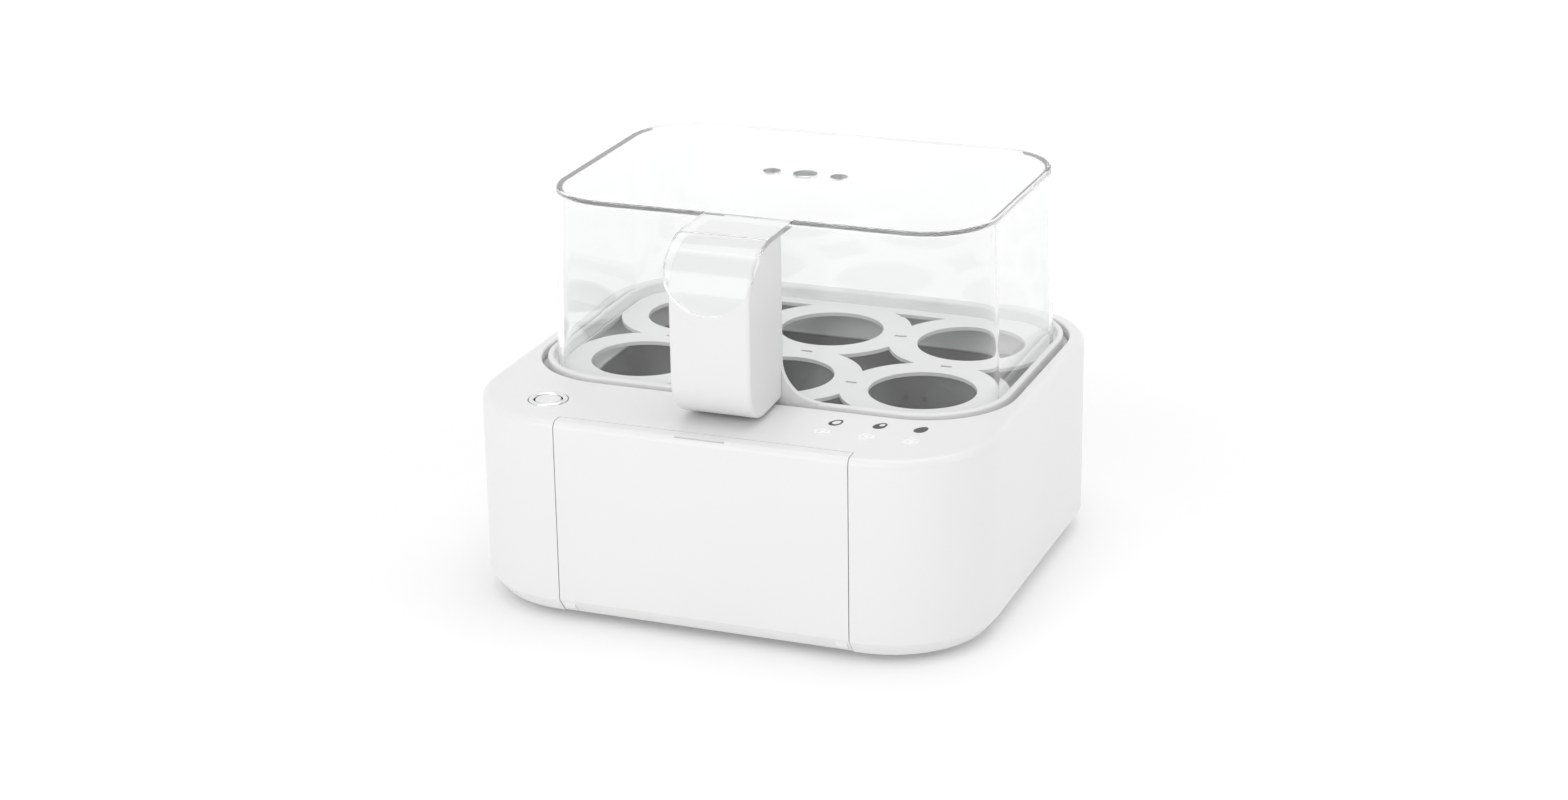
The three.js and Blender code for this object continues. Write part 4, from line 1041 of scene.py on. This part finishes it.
def bm_of(made):
    """Takes a loose object apart again, so that it can cut or join another."""
    bm = bmesh.new()
    bm.from_mesh(made.data)
    bpy.data.objects.remove(made)
    return bm


def slots():
    between = [(x, PAN_Y + y) for x in (-PITCH / 2, PITCH / 2) for y in (-PITCH / 2, PITCH / 2)]
    middle_row = [(x, PAN_Y) for x in (-PITCH, 0, PITCH)]
    a, b = SLOT_HALF
    return [block((x - a, x + a), (y - b, y + b), through) for x, y in between + middle_row]


through = (PLATE_UNDER - 1, PLATE_TOP + 2)
cut(tray, bm_of(ring_gaps()))
cut(tray, *(drum(EGG_HOLE_RADIUS, through, egg, 80) for egg in EGGS))
cut(tray, *slots())
print("tray cut:", len(tray.data.polygons), "faces")

# %% Grow the handle's strap from the rim
LID_WALL = 2
HANDLE_WALL = 2.2
HANDLE_TOP = LID_TOP - LID_WALL - 0.4
STRAP = 12.3
FLARE = 13
strap_top = HANDLE_TOP - HANDLE_WALL - 0.3
strap_outline = [
    (-STRAP - FLARE, LIP_TOP - 1.4), (STRAP + FLARE, LIP_TOP - 1.4), (STRAP + FLARE, LIP_TOP),
    *arc((STRAP + FLARE, LIP_TOP + FLARE), FLARE, 270, 180, 12), (STRAP, strap_top),
    (-STRAP, strap_top), *arc((-STRAP - FLARE, LIP_TOP + FLARE), FLARE, 0, -90, 12),
]
rim_front = PAN_Y - TRAY[1] / 2
joined(tray, prism(strap_outline, "Y", rim_front, rim_front + LIP))
softened(tray, 0.45, 3, 35)
piece(tray, "Egg_tray", tray_white, "tray", ["egg_tray"])

# %% [markdown]
# ## Handle cover
# A hollow cover clips over the strap and turns it into something to hold. Seen from the side it
# has a large radius at the top front, under the lid's tab, and a smaller one at the toe. It is
# a little wider in front, so its side faces are splayed after the extrusion.


# %% Draw, extrude and hollow the handle
NOSE = extent("handle_cover")[0].y
HANDLE_UNDER = extent("handle_cover")[0].z
HANDLE_BACK = rim_front + LIP
ROLL, TOE = 15.6, 13
BACK_HALF, FRONT_HALF = 12.6, 13.75


def handle_outline(by, back):
    top, under = HANDLE_TOP - by, HANDLE_UNDER + by
    return [
        (back, under), (back, top),
        *arc((NOSE + ROLL, HANDLE_TOP - ROLL), ROLL - by, 90, 180, 16),
        *arc((NOSE + TOE, HANDLE_UNDER + TOE), TOE - by, 180, 270, 12),
    ]


def splayed(bm, back_half, front_half):
    """Sets half the width by how far forward each point lies."""
    for v in bm.verts:
        share = (HANDLE_BACK - v.co.y) / (HANDLE_BACK - NOSE)
        v.co.x = math.copysign(back_half + (front_half - back_half) * share, v.co.x)
    return bm


whole = prism(handle_outline(0, HANDLE_BACK), "X", -1, 1)
handle = loose_object(splayed(whole, BACK_HALF, FRONT_HALF))
softened(handle, 1.3, 4, 50)
hollow = prism(handle_outline(HANDLE_WALL, HANDLE_BACK + 3), "X", -1, 1)
strap_room = block(
    (-20, 20), (rim_front - 0.3, HANDLE_BACK + 3), (HANDLE_UNDER - 2, strap_top + 0.3)
)
cut(handle, splayed(hollow, BACK_HALF - HANDLE_WALL, FRONT_HALF - HANDLE_WALL), strap_room)
piece(handle, "Handle_cover", tray_white, "tray", ["handle_cover"])

# %% [markdown]
# ## Clear lid
# The lid is a thin-walled box that narrows slightly towards its top. Clear plastic is only
# convincing when its walls have a true thickness, so the stack goes up the outside and down the
# inside. The grip tab leaves the top's front edge, rolls over the handle and ends in a half
# circle. Three steam holes go through the top.

# %% Stack the lid
LID_FOOT = inset(TRAY, 3.3)
LID_CROWN = inset(LID_FOOT, 1.7)
LID_UNDER = lid_low.z
LID_EDGE, INNER_EDGE = 0.9, 0.6
FOOT_EDGE = 0.5


def lid_solid():
    inner_foot, inner_crown = inset(LID_FOOT, LID_WALL), inset(LID_CROWN, LID_WALL)
    r = INNER_EDGE
    inside = [loop(inner_foot, LID_UNDER + 0.4, PAN_Y)]
    inside += [
        loop(inset(inner_crown, r * (1 - c)), LID_TOP - LID_WALL - r * (1 - s), PAN_Y)
        for s, c in quarter(4)
    ]
    foot = [loop(inset(LID_FOOT, by), LID_UNDER, PAN_Y) for by in (LID_WALL - FOOT_EDGE, FOOT_EDGE)]
    outside = [loop(LID_FOOT, LID_UNDER + FOOT_EDGE, PAN_Y)]
    outside += [
        loop(inset(LID_CROWN, LID_EDGE * (1 - c)), LID_TOP - LID_EDGE * (1 - s), PAN_Y)
        for s, c in quarter(6)
    ]
    return loose_object(stacked(inside[::-1] + foot + outside))


lid = lid_solid()
print("lid box:", len(lid.data.polygons), "faces")

# %% Roll the grip tab and cut the steam holes
TAB_FRONT = lid_low.y
TAB_ROLL = 18
TAB_HALF = 15.25
tab_end = LID_TOP - 22.5
lid_front = PAN_Y - LID_CROWN[1] / 2
MIDDLE_VENT, SIDE_VENT, VENT_PITCH = 4.2, 3, 12


def tab_solid():
    centre = (TAB_FRONT + TAB_ROLL, LID_TOP - TAB_ROLL)
    side = [
        (lid_front + 1, LID_TOP - LID_WALL), (lid_front + 1, LID_TOP - 1.2),
        (lid_front + LID_EDGE, LID_TOP),
        *arc(centre, TAB_ROLL, 90, 180, 20), (TAB_FRONT, tab_end - 1),
        (TAB_FRONT + LID_WALL, tab_end - 1), *arc(centre, TAB_ROLL - LID_WALL, 180, 90, 20),
    ]
    front = [
        (TAB_HALF, LID_TOP + 1), (-TAB_HALF, LID_TOP + 1),
        *arc((0, tab_end + TAB_HALF), TAB_HALF, 180, 360, 32),
    ]
    made = loose_object(prism(side, "X", -TAB_HALF - 5, TAB_HALF + 5))
    return combined(made, [prism(front, "Y", TAB_FRONT - 2, lid_front + 3)], "INTERSECT")


joined(lid, bm_of(tab_solid()))
top_cut = (LID_TOP - LID_WALL - 1, LID_TOP + 1)
cut(
    lid,
    drum(MIDDLE_VENT, top_cut, (0, PAN_Y)),
    *(drum(SIDE_VENT, top_cut, (x, PAN_Y)) for x in (-VENT_PITCH, VENT_PITCH)),
)
softened(lid, 0.3, 2, 40)
piece(lid, "Lid", clear, "lid", ["lid"])

# %% [markdown]
# ## Feet, screws, cable outlet and hinge pins
# These are small turned parts again. A screw gets a cross recess, because from below the heads
# are what tells an eye that the cover comes off.

# %% Turn the feet and the screws
for corner in ("front_left", "rear_left", "front_right", "rear_right"):
    x, y, _ = centre_of(f"foot_{corner}")
    foot = turned(
        [(0, 0.35), (3.4, 0.35), (3.8, 0), (5.2, 0)]
        + [(5.4 + 1.1 * s, 1.1 * (1 - c)) for s, c in quarter(4)]
        + [(6.5, 2.7), (2, 2.7), (2, 5.5), (0, 5.5)],
        (x, y, 0),
    )
    piece(loose_object(foot), f"Foot_{corner}", rubber, "base", [f"foot_{corner}"])
    x, y, _ = centre_of(f"cover_screw_{corner}")
    head = FOOT + 0.1
    screw = loose_object(turned(
        [(0, head), (2.2, head), (2.65, head + 0.3), (2.8, head + 1.1), (1.3, head + 1.1),
         (1.3, head + 11), (0, head + 12)],
        (x, y, 0), sides=32,
    ))
    recess = (head - 1, head + 0.7)
    for a, b in ((1.5, 0.3), (0.3, 1.5)):
        cut(screw, block((x - a, x + a), (y - b, y + b), recess))
    piece(screw, f"Cover_screw_{corner}", steel, "base", [f"cover_screw_{corner}"])

# %% Turn the cable outlet and the hinge pins
gland = turned(
    [(3.4, -8), (5, -8), (5, -0.7), (7, -0.7), (7, -0.3), (6.7, 0), (3.9, 0), (3.4, -0.5)],
    OUTLET, "Y",
)
piece(loose_object(gland), "Cord_gland", rubber, "base", ["cord_gland"])

for side in ("left", "right"):
    low, high = extent(f"hinge_pin_{side}")
    length = high.x - low.x
    pin = turned(
        [(0, 0), (1.05, 0), (1.25, 0.2), (1.25, length - 0.2), (1.05, length), (0, length)],
        (low.x, *HINGE), "X", 32,
    )
    piece(loose_object(pin), f"Hinge_pin_{side}", steel, "base", [f"hinge_pin_{side}"])

# %% [markdown]
# ## Measuring cup and needle
# The cup lies on its side in the bay behind the door. It is turned from clear plastic, with
# three raised lines for one to two, three to four and five to six eggs. The steel needle that
# pricks the eggs is under its foot, inside a collar that guards the point.

# %% Turn the cup and the needle
cup_low, cup_high = extent("measuring_cup")
CUP_AT = (cup_low.x, (cup_low.y + cup_high.y) / 2, (cup_low.z + cup_high.z) / 2)
CUP_LENGTH, GUARD = 60, 5
CUP_FOOT, CUP_TOP, CUP_RIM = 13.6, 15, 16  # outer radii
RIM_FROM = CUP_LENGTH - 2


def cup_wall(height):
    """Outer radius of the tapered cup at a height."""
    return CUP_FOOT + (CUP_TOP - CUP_FOOT) * (height - GUARD) / (RIM_FROM - GUARD)


collar = [(7, GUARD), (7, 0.2), (7.2, 0), (8, 0), (8.2, 0.2), (8.2, GUARD)]
cup_profile = [(0, GUARD), *collar, (CUP_FOOT - 0.4, GUARD), (CUP_FOOT, GUARD + 0.5)]
for mark in (20, 32, 44):
    r = cup_wall(mark)
    cup_profile += [(r, mark - 0.5), (r + 0.35, mark - 0.2), (r + 0.35, mark + 0.2), (r, mark + 0.5)]
cup_profile += [(CUP_TOP, RIM_FROM), (CUP_RIM, RIM_FROM + 0.4), (CUP_RIM, CUP_LENGTH - 0.3)]
cup_profile += [(CUP_RIM - 0.3, CUP_LENGTH), (13.8, CUP_LENGTH), (13.5, CUP_LENGTH - 0.3)]
cup_profile += [(12.2, 8), (11, 6.6), (0, 6.5)]
cup = turned(cup_profile, CUP_AT, "X", 72)
piece(loose_object(cup), "Measuring_cup", clear, "base", ["measuring_cup"])
needle = turned(
    [(0, 0), (0.5, 1.6), (0.5, 3.8), (2.8, 3.8), (3, 4), (3, 4.7), (0, 4.7)], CUP_AT, "X", 32
)
piece(loose_object(needle), "Piercing_needle", steel, "base", ["piercing_needle"])

# %% [markdown]
# ## Solids that keep their own mesh
# Sheet metal, boards and flat mouldings already have the right shape. They keep their mesh and
# only need the finish of the real material, which is assigned to their material slots.

# %% Give the remaining solids their finish
FINISHES = {
    cover_grey: ["bottom_cover", "switch_plunger"],
    tray_white: ["storage_liner"],
    silicone: ["pan_seal"],
    aluminium: ["heat_spreader"],
    steel: ["pan_retainer", "retainer_screw_left", "retainer_screw_right", "heating_tube",
            "thermostat_strap", "door_strike"],
    ceramic: ["heater_bush_left", "heater_bush_right", "thermal_fuse", "terminal_block"],
    board_green: ["power_board", "control_board"],
    black_plastic: ["thermostat", "relay", "capacitor", "button_switch", "speaker", "door_magnet"],
    lens: ["lamp_soft", "lamp_medium", "lamp_hard"],
}
for material, names in FINISHES.items():
    for name in names:
        kept = nodes[name]
        kept.data.materials.clear()
        kept.data.materials.append(material)
        for polygon in kept.data.polygons:
            polygon.material_index = 0
print("kept solids:", sum(len(names) for names in FINISHES.values()))

# %% [markdown]
# The detailed pieces are built to fill the same box as the solids. Both boxes are printed so
# that they can be compared.

# %% Print both boxes and finish
visual_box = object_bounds()
boxes = {"cad": [list(c) for c in cad_box], "visual": [list(c) for c in visual_box]}
for label, (low, high) in boxes.items():
    print(label, [round(v * 1000, 2) for v in low], [round(v * 1000, 2) for v in high])
